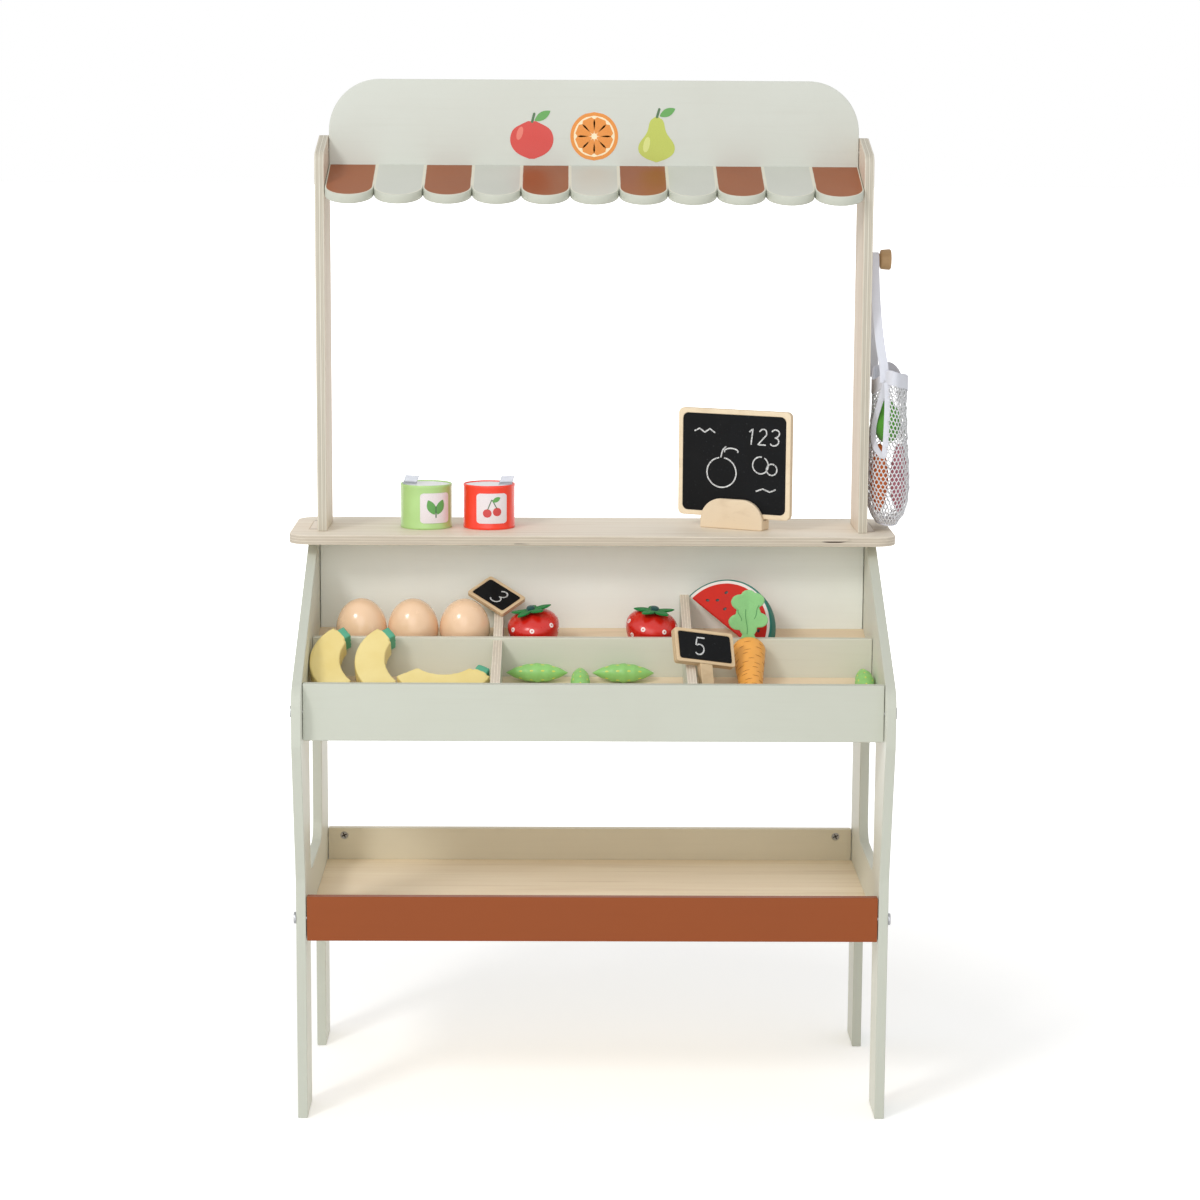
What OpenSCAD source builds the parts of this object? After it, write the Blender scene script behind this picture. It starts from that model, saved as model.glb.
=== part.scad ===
// Toy market stall: a slotted and bolted plywood stall with a two-tier display, a striped
// awning, a counter, a low shelf and its loose toy goods. Millimetres, +Z up, front towards -Y.

/* [Boards] */
// Thickness of the plywood boards
board_t = 10; // [8:0.5:14]
// Thickness of the tray floors
floor_t = 6; // [4:0.5:10]
// Gap between the end of a cross board and a side panel
board_gap = 0.6; // [0.3:0.1:0.9]
// Depth of the grooves that hold the floors and the shelf
groove_d = 4; // [2:0.5:6]

/* [Side panels] */
// Width of the stall over both side panels
stall_w = 600; // [570:5:760]
// Height above the shelf at which the front edge starts to lean forward
knee_rise = 50; // [40:1:60]
// How far the panel stands forward at the tray
tray_reach = 36; // [24:1:60]
// Height of the part of the front edge that leans forward
lean_h = 145; // [120:1:170]
// Height of the upright part of the front edge above it
nose_h = 53; // [44:1:58]
// How far the panel's top edge starts before the back board
top_ahead = 15.7; // [12:0.1:20]
// Radius of the corners of the front edge
panel_r = 26; // [5:1:40]
// Width of the front leg beside the window
leg_front_w = 62; // [45:1:90]
// Width of the back leg beside the window
leg_back_w = 85; // [60:1:100]
// Height of the window's lower edge above the shelf
window_rise = 43; // [40:1:80]
// Distance of the window's upper edge below the tray
window_drop = 6; // [4:1:40]
// Radius of the window's corners
window_r = 20; // [4:1:35]
// Width of each foot
foot_w = 56; // [40:1:80]
// Distance of the top of the arch between the feet below the shelf's upper face
arch_drop = 22; // [18:1:90]
// Radius of the arch's corners
arch_r = 14; // [4:1:40]
// Length of the tenon that passes through the counter
tenon_l = 66; // [40:1:75]

/* [Counter] */
// How far the counter reaches past each side panel
counter_side = 18.5; // [10:0.5:30]
// Depth of the counter top
counter_d = 150; // [140:1:180]
// How far the counter reaches behind the legs
counter_over = 6.5; // [0:0.5:20]
// Radius of the counter's corners
counter_r = 22; // [6:1:30]

/* [Posts] */
// Width of a post from front to back
post_w = 83; // [78:1:90]
// Height of the posts above the counter
post_h = 412; // [380:2:520]
// Distance of the posts from the back of the legs
post_inset = 29; // [20:1:40]
// Width of the tongue that passes through the counter
tongue_w = 47.3; // [30:0.1:60]
// Length of the tongue below the counter
tongue_drop = 132; // [100:1:140]
// Flat part of a post's top
post_flat = 17; // [8:1:30]
// Fall of the sloping part of a post's top
post_fall = 18; // [6:1:30]
// Radius of the front corner of a post
post_r = 13; // [4:1:20]

/* [Header and awning] */
// Height of the header board
header_h = 119; // [90:1:140]
// How far the header rises above the posts
header_over = 59; // [30:1:80]
// Radius of the header's top corners
header_r = 54; // [10:1:80]
// Distance of the header from the back of the posts
header_inset = 9; // [4:1:14]
// Drop of the awning's back edge below the post tops
awning_drop = 30; // [20:1:34]
// Depth of the awning to the roots of its scallops
awning_depth = 64; // [50:1:66]
// Slope of the awning
awning_slope = 18.4; // [10:0.2:24]
// Number of scallops
scallops = 11; // [7:2:15]

/* [Display] */
// How far the tray's front board stands before the legs
tray_forward = 19.5; // [10:0.5:30]
// Height of the lower edge of the front board above the panel's forward lean
tray_rise = 3; // [0:0.5:8]
// Height of the front board
tray_board_h = 57.7; // [50:0.1:64]
// Height of the counter's underside above the front board
display_rise = 114.3; // [100:0.1:130]
// Depth of the front tray
front_tray_d = 119.1; // [112:0.1:130]
// Height of the front floor's front edge above the lower edge of the front board
front_floor_rise = 10.1; // [8:0.1:14]
// Depth of the rear tier
rear_tier_d = 94.1; // [88:0.1:104]
// Step from the back edge of the front floor up to the front edge of the rear floor
floor_step = 8.4; // [6:0.1:12]
// Rise of the board between the tiers above the rear floor
tier_lip = 32; // [28:0.5:38]
// Slope of both floors
floor_slope = 15; // [12:0.5:15]
// How far a board reaches below the floor it carries
board_skirt = 14; // [8:1:18]
// Rise of a front divider above the front board
divider_lip = 0.5; // [0:0.1:2]
// Drop of a front divider below the top of the tier board
divider_drop = 2.4; // [1:0.1:6]
// Height of a rear divider at the back board
divider_back_h = 36.4; // [24:0.2:44]

/* [Lower shelf] */
// Height of the shelf's upper face
shelf_h = 200; // [196:1:210]
// Height of the shelf's front lip
lip_h = 46; // [30:1:48]
// How far the lip reaches below the shelf's upper face
lip_low = 13; // [11:1:16]
// Gap beside the ends of the lip
lip_gap = 0.9; // [0.3:0.1:0.9]
// Height of the shelf's back board
shelf_back_h = 48; // [40:1:50]

/* [Fasteners] */
// Diameter of a connector bolt
bolt_d = 5; // [4:0.5:6]
// Diameter of a connector bolt's head
bolt_head_d = 12; // [9:0.5:14]
// Thickness of a connector bolt's head
bolt_head_t = 2.5; // [1.5:0.5:4]
// Width of the hexagon socket over its corners
bolt_key = 4; // [2.5:0.5:5]
// Distance from a board's end to its barrel nut
nut_set = 18; // [14:1:24]
// Diameter of a barrel nut
nut_d = 8.4; // [7:0.2:9]
// Length of a barrel nut
nut_l = 7.6; // [5:0.2:7.8]
// Length of a bolt past its barrel nut
bolt_past = 3; // [1:0.5:6]
// Width of a post nut over its corners
hex_nut_d = 10; // [9:0.5:12]
// Height of a post nut
hex_nut_h = 4; // [3:0.5:6]

/* [Bag hook and bag] */
// Height of the hook above the counter
hook_h = 286; // [260:1:320]
// Diameter of the hook's stem
hook_stem_d = 12; // [9:0.5:14]
// Length of the hook's stem outside the post
hook_stem_l = 12; // [11:0.5:16]
// Diameter of the hook's head
hook_head_d = 22; // [16:0.5:28]
// Length of the hook's head
hook_head_l = 12; // [6:0.5:16]
// Diameter of the tenon that is glued into the post
hook_tenon_d = 8; // [5:0.5:9]
// Depth of that tenon
hook_tenon_l = 7; // [4:0.5:7]
// Thickness of the filled bag at its widest
bag_t = 47; // [40:1:60]
// Width of the bag at its widest
bag_w = 128; // [90:1:132]
// Height of the bag up to its hem
bag_h = 170; // [150:1:180]
// Wall of the bag
bag_wall = 1.6; // [1:0.1:2.5]
// Width of the bag's strap
strap_w = 10; // [7:0.5:10.5]
// Thickness of the bag's strap
strap_t = 1.5; // [1:0.1:2]
// Diameter of the two long fruits in the bag
bag_fruit_d = 18; // [14:0.5:18.5]
// Length of the two long fruits in the bag
bag_fruit_l = 74; // [60:1:80]
// Diameter of the fruit on top of them
bag_apple_d = 28; // [20:1:29]
// Length of the fruit on top of them
bag_apple_l = 48; // [30:1:52]

/* [Eggs and strawberries] */
// Diameter of an egg
egg_d = 53; // [40:1:54]
// Height of an egg
egg_h = 57; // [48:1:62]
// Diameter of a strawberry
berry_d = 54; // [40:1:56]
// Height of a strawberry
berry_h = 46; // [36:1:52]
// Tilt of a strawberry
berry_tilt = 8; // [0:1:10]
// Length of a felt leaf from the middle of the strawberry
calyx_l = 23; // [14:1:24]
// Thickness of the felt
felt_t = 2.4; // [1.5:0.1:3]
// Diameter of the knob on the felt leaves
knob_d = 9; // [5:0.5:10]
// Height of the knob on the felt leaves
knob_h = 4; // [2:0.5:6]

/* [Watermelon, carrot and peas] */
// Radius of the watermelon slice
melon_r = 55; // [44:1:56]
// Thickness of the watermelon slice
melon_t = 16; // [10:1:17]
// Length of the carrot
carrot_l = 94; // [80:1:96]
// Diameter of the carrot at its top
carrot_d = 35; // [26:1:36]
// Diameter of the carrot near its tip
carrot_tip_d = 20; // [12:1:24]
// Length of the carrot's leaves
leaf_l = 54; // [40:1:56]
// Length of a pea pod
pod_l = 64; // [50:1:66]
// Diameter of a pea pod
pod_d = 20; // [14:0.5:21]

/* [Bananas] */
// Radius of a banana's outer edge
banana_r = 54; // [44:1:55]
// Width of a banana at its middle
banana_w = 31; // [24:1:32]
// Thickness of a banana
banana_t = 20; // [14:1:20]
// Half of the angle that a banana bends through
banana_bend = 62; // [50:1:64]
// Width of a banana's stem
stem_w = 14; // [8:1:16]
// Length of a banana's stem
stem_l = 9; // [4:1:10]

/* [Price signs] */
// Width of the front price sign
sign_w = 67; // [50:1:68]
// Height of the front price sign
sign_h = 37; // [30:1:40]
// Length of the front price sign's stick
sign_stick_l = 60; // [59:1:66]
// Width of the front price sign's stick
sign_stick_w = 14; // [8:1:16]
// Thickness of the front price sign
sign_t = 8; // [5:0.5:9]
// Width of the rear price sign
rear_sign_w = 52; // [40:1:54]
// Height of the rear price sign
rear_sign_h = 36; // [26:1:37]
// Thickness of the rear price sign
rear_sign_t = 5; // [3:0.5:6]
// Width of the bare rim round a sign's black face
sign_rim = 3.5; // [2:0.5:5]
// Depth of a sign's black face below its rim
sign_sink = 0.6; // [0.3:0.1:1]

/* [Tins] */
// Diameter of a tin
tin_d = 55; // [44:1:58]
// Height of a tin
tin_h = 47; // [36:1:60]
// Width of a tin's rim
tin_rim = 2; // [1:0.5:4]
// Depth of a tin's rim above its lid
tin_sink = 1.2; // [0.6:0.2:3]
// Thickness of a tin's lid
lid_t = 3; // [2:0.5:5]
// Width of a pull tab
tab_w = 15; // [10:1:18]
// Length of a pull tab along the lid
tab_l = 8; // [6:1:12]
// Rise of a pull tab
tab_rise = 9; // [5:1:12]
// Thickness of a pull tab
tab_t = 1.2; // [0.8:0.1:2]

/* [Chalkboard] */
// Width of the chalkboard
slate_w = 130; // [100:1:134]
// Height of the chalkboard
slate_h = 115; // [90:1:150]
// Thickness of the chalkboard's frame
slate_frame_t = 8; // [6:0.5:10]
// Width of the chalkboard's frame
slate_rim = 5.5; // [4:0.5:9]
// Thickness of the slate
slate_t = 3; // [2:0.5:4]
// Radius of the frame's corners
slate_r = 6; // [2:0.5:8]
// Width of the stand
stand_w = 72; // [56:1:84]
// Depth of the stand
stand_d = 20; // [16:1:24]
// Height of the stand
stand_h = 32; // [26:1:36]
// Radius of the stand's shoulders
stand_r = 24; // [10:1:25]
// Height of the slot's floor in the stand
slot_floor = 12; // [8:0.5:16]
// Turn of the chalkboard towards the left
slate_turn = 27; // [0:1:30]

/* [Hidden] */
$fn = 64;

// Overrun of a cut past the face it opens, and the seat of a loose piece above its rest
over = 1;
seat = 0.3;
// Clearance of a bolt in its hole and of a sliding board in its slot
bolt_clear = 0.3;
slot_clear = 0.3;
// Steps of a rounded corner
corner_steps = 8;

// Colours as in the photograph
cream = [0.82, 0.82, 0.77];
terracotta = [0.62, 0.36, 0.22];
ply = [0.86, 0.77, 0.63];
pale_ply = [0.91, 0.87, 0.79];
steel = [0.62, 0.62, 0.62];
peach = [0.95, 0.74, 0.6];
berry_red = [0.83, 0.15, 0.12];
leaf_green = [0.1, 0.45, 0.22];
pod_green = [0.55, 0.77, 0.42];
melon_red = [0.82, 0.2, 0.14];
carrot_orange = [0.92, 0.6, 0.26];
banana_yellow = [0.93, 0.83, 0.5];
slate_black = [0.08, 0.08, 0.09];
tin_green = [0.68, 0.82, 0.53];
tin_red = [0.88, 0.24, 0.12];
white = [0.95, 0.95, 0.95];
silver = [0.7, 0.71, 0.74];
net_white = [0.93, 0.94, 0.97];
apple_green = [0.36, 0.6, 0.22];
orange = [0.85, 0.5, 0.22];
mauve = [0.7, 0.45, 0.52];

// Depths of the stall, with y = 0 at the front of the legs
tray_y = -tray_forward;
tray_in_y = tray_y + board_t;
tier_y = tray_in_y + front_tray_d;
tier_in_y = tier_y + board_t;
back_y = tier_in_y + rear_tier_d;
tongue_front_y = back_y + board_t;
post_back_y = tongue_front_y + tongue_w;
post_front_y = post_back_y - post_w;
panel_depth = post_back_y + post_inset;
panel_top_y = back_y - top_ahead;
counter_front_y = panel_depth + counter_over - counter_d;
shelf_back_y = panel_depth - board_t;

// Heights of the stall
floor_rise = tan(floor_slope);
lip_low_h = shelf_h - lip_low;
arch_h = shelf_h - arch_drop;
knee_h = shelf_h + knee_rise;
reach_low_h = knee_h + lean_h;
reach_top_h = reach_low_h + nose_h;
tray_low_h = reach_low_h + tray_rise;
tray_top_h = tray_low_h + tray_board_h;
window_low_h = shelf_h + window_rise;
window_top_h = tray_low_h - window_drop;
tier_low_h = tray_low_h + front_floor_rise + front_tray_d * floor_rise;
tier_top_h = tier_low_h + floor_step + tier_lip;
back_low_h = tier_low_h + floor_step + rear_tier_d * floor_rise;
panel_h = tray_top_h + display_rise;
counter_top_h = panel_h + board_t;
post_top_h = counter_top_h + post_h;

// Other planes of the stall, with x = 0 in its middle
inner_x = stall_w / 2 - board_t;
post_in_x = inner_x - board_t;
counter_w = stall_w + 2 * counter_side;
header_y = post_back_y - header_inset - board_t;
header_top_h = post_top_h + header_over;
header_low_h = header_top_h - header_h;
header_w = 2 * (post_in_x - board_gap);
awning_back_h = post_top_h - awning_drop;
cross_w = 2 * (inner_x - board_gap);
lip_w = 2 * (inner_x - lip_gap);
bay_w = (2 * inner_x - 2 * board_t) / 3;
divider_x = bay_w / 2 + board_t / 2;

// Height of a sloping floor at y
function front_floor_z(y) = tier_low_h - (tier_y - y) * floor_rise;
function rear_floor_z(y) = back_low_h - (back_y - y) * floor_rise;
floor_t_upright = floor_t / cos(floor_slope);

// Heights and places of the connector bolts: [y, z] through the side panels
lip_bolt = [board_t / 2, lip_low_h + lip_h / 2];
shelf_back_bolt = [shelf_back_y + board_t / 2, lip_low_h + shelf_back_h - nut_d];
tray_bolt = [tray_y + board_t / 2, tray_low_h + tray_board_h / 2];
tier_bolt = [tier_y + board_t / 2, (tier_top_h + tier_low_h) / 2];
back_bolt_share = 0.3;
back_bolt_span = panel_h - back_low_h;
back_bolt_low = [back_y + board_t / 2, back_low_h + back_bolt_span * back_bolt_share];
back_bolt_high = [back_y + board_t / 2, panel_h - back_bolt_span * back_bolt_share];
panel_bolts = [lip_bolt, shelf_back_bolt, tray_bolt, tier_bolt, back_bolt_low, back_bolt_high];
header_bolt = [header_y + board_t / 2, (post_top_h + awning_back_h) / 2];
awning_bolt_s = awning_depth / 2;
awning_bolt = [
    header_y - awning_bolt_s * cos(awning_slope) + board_t / 2 * sin(awning_slope),
    awning_back_h - awning_bolt_s * sin(awning_slope) - board_t / 2 * cos(awning_slope)
];
tongue_bolt_share = 0.25;
tongue_mid_y = (tongue_front_y + post_back_y) / 2;
tongue_bolts = [
    [tongue_mid_y, panel_h - tongue_drop * tongue_bolt_share],
    [tongue_mid_y, panel_h - tongue_drop * (1 - tongue_bolt_share)]
];
bolt_reach = nut_set + bolt_past;

// The hanging bag: its middle, its hem and its bottom
hook_y = (post_front_y + post_back_y) / 2;
hook_z = counter_top_h + hook_h;
bag_low_gap = 4;
bag_x = inner_x + seat + bag_t / 2 + seat;
bag_low_z = counter_top_h + bag_low_gap;
bag_hem_z = bag_low_z + bag_h;
strap_gap = 0.6;
strap_x = inner_x + strap_gap + strap_w / 2;

// Half of the object's spread, which centres it over the origin
right_x = max(bag_x + bag_t / 2, counter_w / 2);
mid_x = -(right_x - counter_w / 2) / 2;
mid_y = -(panel_depth + counter_over - tray_reach) / 2;

// Rounded outlines
function unit(v) = v / norm(v);
function corner(a, b, c, r) =
    r <= 0 ? [b] :
    let (
        u = unit(a - b),
        v = unit(c - b),
        half = acos(u * v) / 2,
        run = r / tan(half),
        middle = b + unit(u + v) * r / sin(half),
        p = b + u * run - middle,
        q = b + v * run - middle,
        start = atan2(p.y, p.x),
        turn = (atan2(q.y, q.x) - start + 540) % 360 - 180
    )
    [for (i = [0:corner_steps])
        middle + r * [cos(start + turn * i / corner_steps), sin(start + turn * i / corner_steps)]];
function rounded(points, radii) =
    let (n = len(points))
    [for (i = [0:n - 1]) each corner(points[(i + n - 1) % n], points[i], points[(i + 1) % n], radii[i])];

// Places children in the object's frame
module in_frame() {
    translate([mid_x, mid_y, 0]) children();
}

// Extrudes an outline of [y, z] points along x
module along_x(x, length) {
    translate([x, 0, 0]) rotate([90, 0, 90]) linear_extrude(length) children();
}

// Repeats children on the right and on the left
module both_sides() {
    children();
    mirror([1, 0, 0]) children();
}

// A cylinder along x from a point
module rod_x(x, y, z, r, length) {
    translate([x, y, z]) rotate([0, 90, 0]) cylinder(r = r, h = length);
}

// A rectangle with round corners, on its lower middle
module round_rect(w, h, r) {
    translate([-w / 2 + r, 0]) square([w - 2 * r, h]);
    translate([-w / 2, r]) square([w, h - 2 * r]);
    for (x = [-w / 2 + r, w / 2 - r], y = [r, h - r]) translate([x, y]) circle(r = r);
}

// A rectangle whose two upper corners are round, on its lower middle
module round_topped(w, h, r) {
    translate([-w / 2, 0]) square([w, h - r]);
    translate([-w / 2 + r, 0]) square([w - 2 * r, h]);
    intersection() {
        for (s = [-1, 1]) translate([s * (w / 2 - r), h - r]) circle(r = r);
        translate([-w / 2, 0]) square([w, h]);
    }
}

// Profiles of the sloping floors and the shelf, which the side panels' grooves repeat
module front_floor_profile() {
    polygon([
        [tray_in_y, front_floor_z(tray_in_y)], [tier_y, front_floor_z(tier_y)],
        [tier_y, front_floor_z(tier_y) - floor_t_upright],
        [tray_in_y, front_floor_z(tray_in_y) - floor_t_upright]
    ]);
}

module rear_floor_profile() {
    polygon([
        [tier_in_y, rear_floor_z(tier_in_y)], [back_y, rear_floor_z(back_y)],
        [back_y, rear_floor_z(back_y) - floor_t_upright],
        [tier_in_y, rear_floor_z(tier_in_y) - floor_t_upright]
    ]);
}

module shelf_profile() {
    translate([board_t, shelf_h - board_t]) square([shelf_back_y - board_t, board_t]);
}

// Side panels
tenon_front_y = post_back_y - tenon_l;
panel_outline = rounded(
    [
        [0, 0], [0, knee_h], [-tray_reach, reach_low_h], [-tray_reach, reach_top_h],
        [panel_top_y, panel_h], [tenon_front_y, panel_h],
        [tenon_front_y, counter_top_h], [post_back_y, counter_top_h], [post_back_y, panel_h],
        [panel_depth, panel_h], [panel_depth, 0]
    ],
    [0, panel_r, panel_r, panel_r, 0, 0, 0, 0, 0, 0, 0]
);
window_outline = rounded(
    [
        [leg_front_w, window_low_h], [leg_front_w, window_top_h],
        [panel_depth - leg_back_w, window_top_h], [panel_depth - leg_back_w, window_low_h]
    ],
    [window_r, window_r, window_r, window_r]
);
arch_outline = rounded(
    [
        [foot_w, -over], [foot_w, arch_h], [panel_depth - foot_w, arch_h],
        [panel_depth - foot_w, -over]
    ],
    [0, arch_r, arch_r, 0]
);

module side_panel() {
    difference() {
        along_x(inner_x, board_t) difference() {
            polygon(panel_outline);
            polygon(window_outline);
            polygon(arch_outline);
        }
        along_x(inner_x - over, groove_d + over) {
            front_floor_profile();
            rear_floor_profile();
            shelf_profile();
        }
        for (b = concat(panel_bolts, tongue_bolts))
            rod_x(inner_x - over, b.x, b.y, bolt_d / 2 + bolt_clear, board_t + 2 * over);
    }
}

module side_panel_left() {
    color(cream) in_frame() mirror([1, 0, 0]) side_panel();
}

module side_panel_right() {
    color(cream) in_frame() side_panel();
}

// Counter with the slots for the panels' tenons and the posts' tongues
module counter_top() {
    color(ply) in_frame() difference() {
        translate([0, counter_front_y, panel_h]) linear_extrude(board_t)
            round_rect(counter_w, counter_d, counter_r);
        both_sides() {
            translate([inner_x, tenon_front_y, panel_h - over]) cube([board_t, tenon_l, board_t + 2 * over]);
            translate([post_in_x, tongue_front_y, panel_h - over])
                cube([board_t, post_back_y - tongue_front_y, board_t + 2 * over]);
        }
    }
}

// Posts, which stand on the counter and pass through it behind the display's back board
module post() {
    outline = rounded(
        [
            [tongue_front_y, panel_h - tongue_drop], [post_back_y, panel_h - tongue_drop],
            [post_back_y, post_top_h], [post_back_y - post_flat, post_top_h],
            [post_front_y, post_top_h - post_fall], [post_front_y, counter_top_h],
            [tongue_front_y, counter_top_h]
        ],
        [0, 0, 0, post_r, post_r, 0, 0]
    );
    difference() {
        along_x(post_in_x, board_t) polygon(outline);
        for (b = concat(tongue_bolts, [header_bolt, awning_bolt]))
            rod_x(post_in_x - over, b.x, b.y, bolt_d / 2 + bolt_clear, board_t + 2 * over);
    }
}

module post_left() {
    color(pale_ply) in_frame() mirror([1, 0, 0]) post();
}

module post_right() {
    color(pale_ply) in_frame() difference() {
        post();
        rod_x(inner_x - hook_tenon_l, hook_y, hook_z, hook_tenon_d / 2, hook_tenon_l + over);
    }
}

// The two holes of a connector at a board's end: the bolt's bore and the nut's blind hole,
// which opens at the face towards +y, or towards -y where opens is -1
module bolt_bore(end_x, y, z) {
    rod_x(end_x - bolt_reach, y, z, bolt_d / 2 + bolt_clear, bolt_reach + over);
}

module connector_holes(end_x, y, z, opens) {
    bolt_bore(end_x, y, z);
    translate([end_x - nut_set, y - opens * nut_l / 2, z]) rotate([-90 * opens, 0, 0])
        cylinder(d = nut_d, h = nut_l + board_t);
}

// A board across the stall with its connector holes
module cross_board(w, y, low, top, bolts, opens) {
    difference() {
        translate([-w / 2, y, low]) cube([w, board_t, top - low]);
        for (b = bolts) both_sides() connector_holes(inner_x, b.x, b.y, opens);
    }
}

module header_board() {
    color(cream) in_frame() difference() {
        translate([0, header_y + board_t, header_low_h]) rotate([90, 0, 0]) linear_extrude(board_t)
            round_topped(header_w, header_h, header_r);
        both_sides() connector_holes(post_in_x, header_bolt.x, header_bolt.y, 1);
    }
}

// Awning: a straight board with half-round scallops, bevelled where it meets the header
module awning_board() {
    reach = awning_depth / cos(awning_slope);
    pitch = header_w / scallops;
    color(cream) in_frame() difference() {
        translate([0, header_y, awning_back_h]) rotate([awning_slope, 0, 0]) translate([0, 0, -board_t])
            linear_extrude(board_t) {
                translate([-header_w / 2, -reach]) square([header_w, reach + board_t]);
                for (i = [0:scallops - 1])
                    translate([-header_w / 2 + pitch * (i + 1 / 2), -reach]) circle(d = pitch);
            }
        translate([-header_w, header_y, header_low_h - header_h])
            cube([2 * header_w, header_h, 3 * header_h]);
        both_sides() {
            bolt_bore(post_in_x, awning_bolt.x, awning_bolt.y);
            translate([post_in_x - nut_set, awning_bolt.x, awning_bolt.y]) rotate([awning_slope, 0, 0])
                translate([0, 0, -board_t]) cylinder(d = nut_d, h = board_t + nut_l / 2);
        }
    }
}

// Display
module tray_front_board() {
    color(cream) in_frame() cross_board(cross_w, tray_y, tray_low_h, tray_top_h, [tray_bolt], 1);
}

module tier_board() {
    color(cream) in_frame()
        cross_board(cross_w, tier_y, tier_low_h - board_skirt, tier_top_h, [tier_bolt], 1);
}

module display_back_board() {
    color(cream) in_frame() cross_board(
        cross_w, back_y, back_low_h - board_skirt, panel_h, [back_bolt_low, back_bolt_high], 1);
}

module front_tray_floor() {
    color(ply) in_frame() along_x(-inner_x - groove_d, 2 * (inner_x + groove_d)) front_floor_profile();
}

module rear_tier_floor() {
    color(ply) in_frame() along_x(-inner_x - groove_d, 2 * (inner_x + groove_d)) rear_floor_profile();
}

module front_divider() {
    along_x(divider_x - board_t / 2, board_t) polygon([
        [tray_in_y, front_floor_z(tray_in_y)], [tier_y, front_floor_z(tier_y)],
        [tier_y, tier_top_h - divider_drop], [tray_in_y, tray_top_h + divider_lip]
    ]);
}

module rear_divider() {
    along_x(divider_x - board_t / 2, board_t) polygon([
        [tier_in_y, rear_floor_z(tier_in_y)], [back_y, rear_floor_z(back_y)],
        [back_y, back_low_h + divider_back_h], [tier_in_y, tier_top_h + divider_lip]
    ]);
}

module front_divider_left() {
    color(cream) in_frame() mirror([1, 0, 0]) front_divider();
}

module front_divider_right() {
    color(cream) in_frame() front_divider();
}

module rear_divider_left() {
    color(cream) in_frame() mirror([1, 0, 0]) rear_divider();
}

module rear_divider_right() {
    color(cream) in_frame() rear_divider();
}

// Lower shelf
module lower_shelf() {
    color(ply) in_frame() along_x(-inner_x - groove_d, 2 * (inner_x + groove_d)) shelf_profile();
}

module shelf_front_lip() {
    color(terracotta) in_frame() cross_board(lip_w, 0, lip_low_h, lip_low_h + lip_h, [lip_bolt], 1);
}

module shelf_back_board() {
    color(cream) in_frame() cross_board(
        cross_w, shelf_back_y, lip_low_h, lip_low_h + shelf_back_h, [shelf_back_bolt], -1);
}

// Turned hook, glued into the right post
module bag_hook() {
    dome = hook_head_l / 4;
    color(ply) in_frame() translate([inner_x - hook_tenon_l, hook_y, hook_z]) rotate([0, 90, 0])
        rotate_extrude() polygon([
            [0, 0], [hook_tenon_d / 2, 0], [hook_tenon_d / 2, hook_tenon_l],
            [hook_stem_d / 2, hook_tenon_l], [hook_stem_d / 2, hook_tenon_l + hook_stem_l],
            [hook_head_d / 2, hook_tenon_l + hook_stem_l + dome],
            [hook_head_d / 2, hook_tenon_l + hook_stem_l + hook_head_l - dome],
            [hook_head_d / 2 - dome, hook_tenon_l + hook_stem_l + hook_head_l],
            [0, hook_tenon_l + hook_stem_l + hook_head_l]
        ]);
}

// Fasteners
module bolt(x, y, z, length) {
    socket_d = bolt_head_t * 2 / 3;
    difference() {
        union() {
            rod_x(x - length, y, z, bolt_d / 2, length);
            rod_x(x, y, z, bolt_head_d / 2, bolt_head_t);
        }
        translate([x + bolt_head_t - socket_d, y, z]) rotate([0, 90, 0])
            cylinder(d = bolt_key, h = socket_d + over, $fn = 6);
    }
}

module connector_bolts() {
    color(steel) in_frame() both_sides() {
        for (b = panel_bolts) bolt(inner_x + board_t, b.x, b.y, board_t + bolt_reach);
        for (b = [header_bolt, awning_bolt]) bolt(inner_x, b.x, b.y, board_t + bolt_reach);
    }
}

module barrel_nut(x, y, z, lean) {
    translate([x, y, z]) rotate([lean, 0, 0]) difference() {
        rotate([90, 0, 0]) cylinder(d = nut_d, h = nut_l, center = true);
        rod_x(-nut_d, 0, 0, bolt_d / 2, 2 * nut_d);
    }
}

module barrel_nuts() {
    color(steel) in_frame() both_sides() {
        for (b = panel_bolts) barrel_nut(inner_x - nut_set, b.x, b.y, 0);
        barrel_nut(post_in_x - nut_set, header_bolt.x, header_bolt.y, 0);
        barrel_nut(post_in_x - nut_set, awning_bolt.x, awning_bolt.y, 90 + awning_slope);
    }
}

module post_bolts() {
    color(steel) in_frame() both_sides()
        for (b = tongue_bolts) bolt(inner_x + board_t, b.x, b.y, 2 * board_t + hex_nut_h);
}

module post_nuts() {
    color(steel) in_frame() both_sides() for (b = tongue_bolts) difference() {
        translate([post_in_x - hex_nut_h, b.x, b.y]) rotate([0, 90, 0])
            cylinder(d = hex_nut_d, h = hex_nut_h, $fn = 6);
        rod_x(post_in_x - 2 * hex_nut_h, b.x, b.y, bolt_d / 2, 3 * hex_nut_h);
    }
}

// Stands children on the sloping rear floor, square to it
module on_rear_floor(x, y) {
    in_frame() translate([x, y, rear_floor_z(y)]) rotate([floor_slope, 0, 0]) translate([0, 0, seat])
        children();
}

// A turned solid of two half ellipses, cut flat at its base
module turned(d, h, wide_share, base_angle) {
    low = h * wide_share;
    high = h - low;
    base = low * sin(base_angle);
    rotate_extrude() polygon(concat(
        [[0, 0]],
        [for (a = [-base_angle:6:0]) [d / 2 * cos(a), base + low * sin(a)]],
        [for (a = [6:6:84]) [d / 2 * cos(a), base + high * sin(a)]],
        [[0, base + high]]
    ));
}

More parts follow.
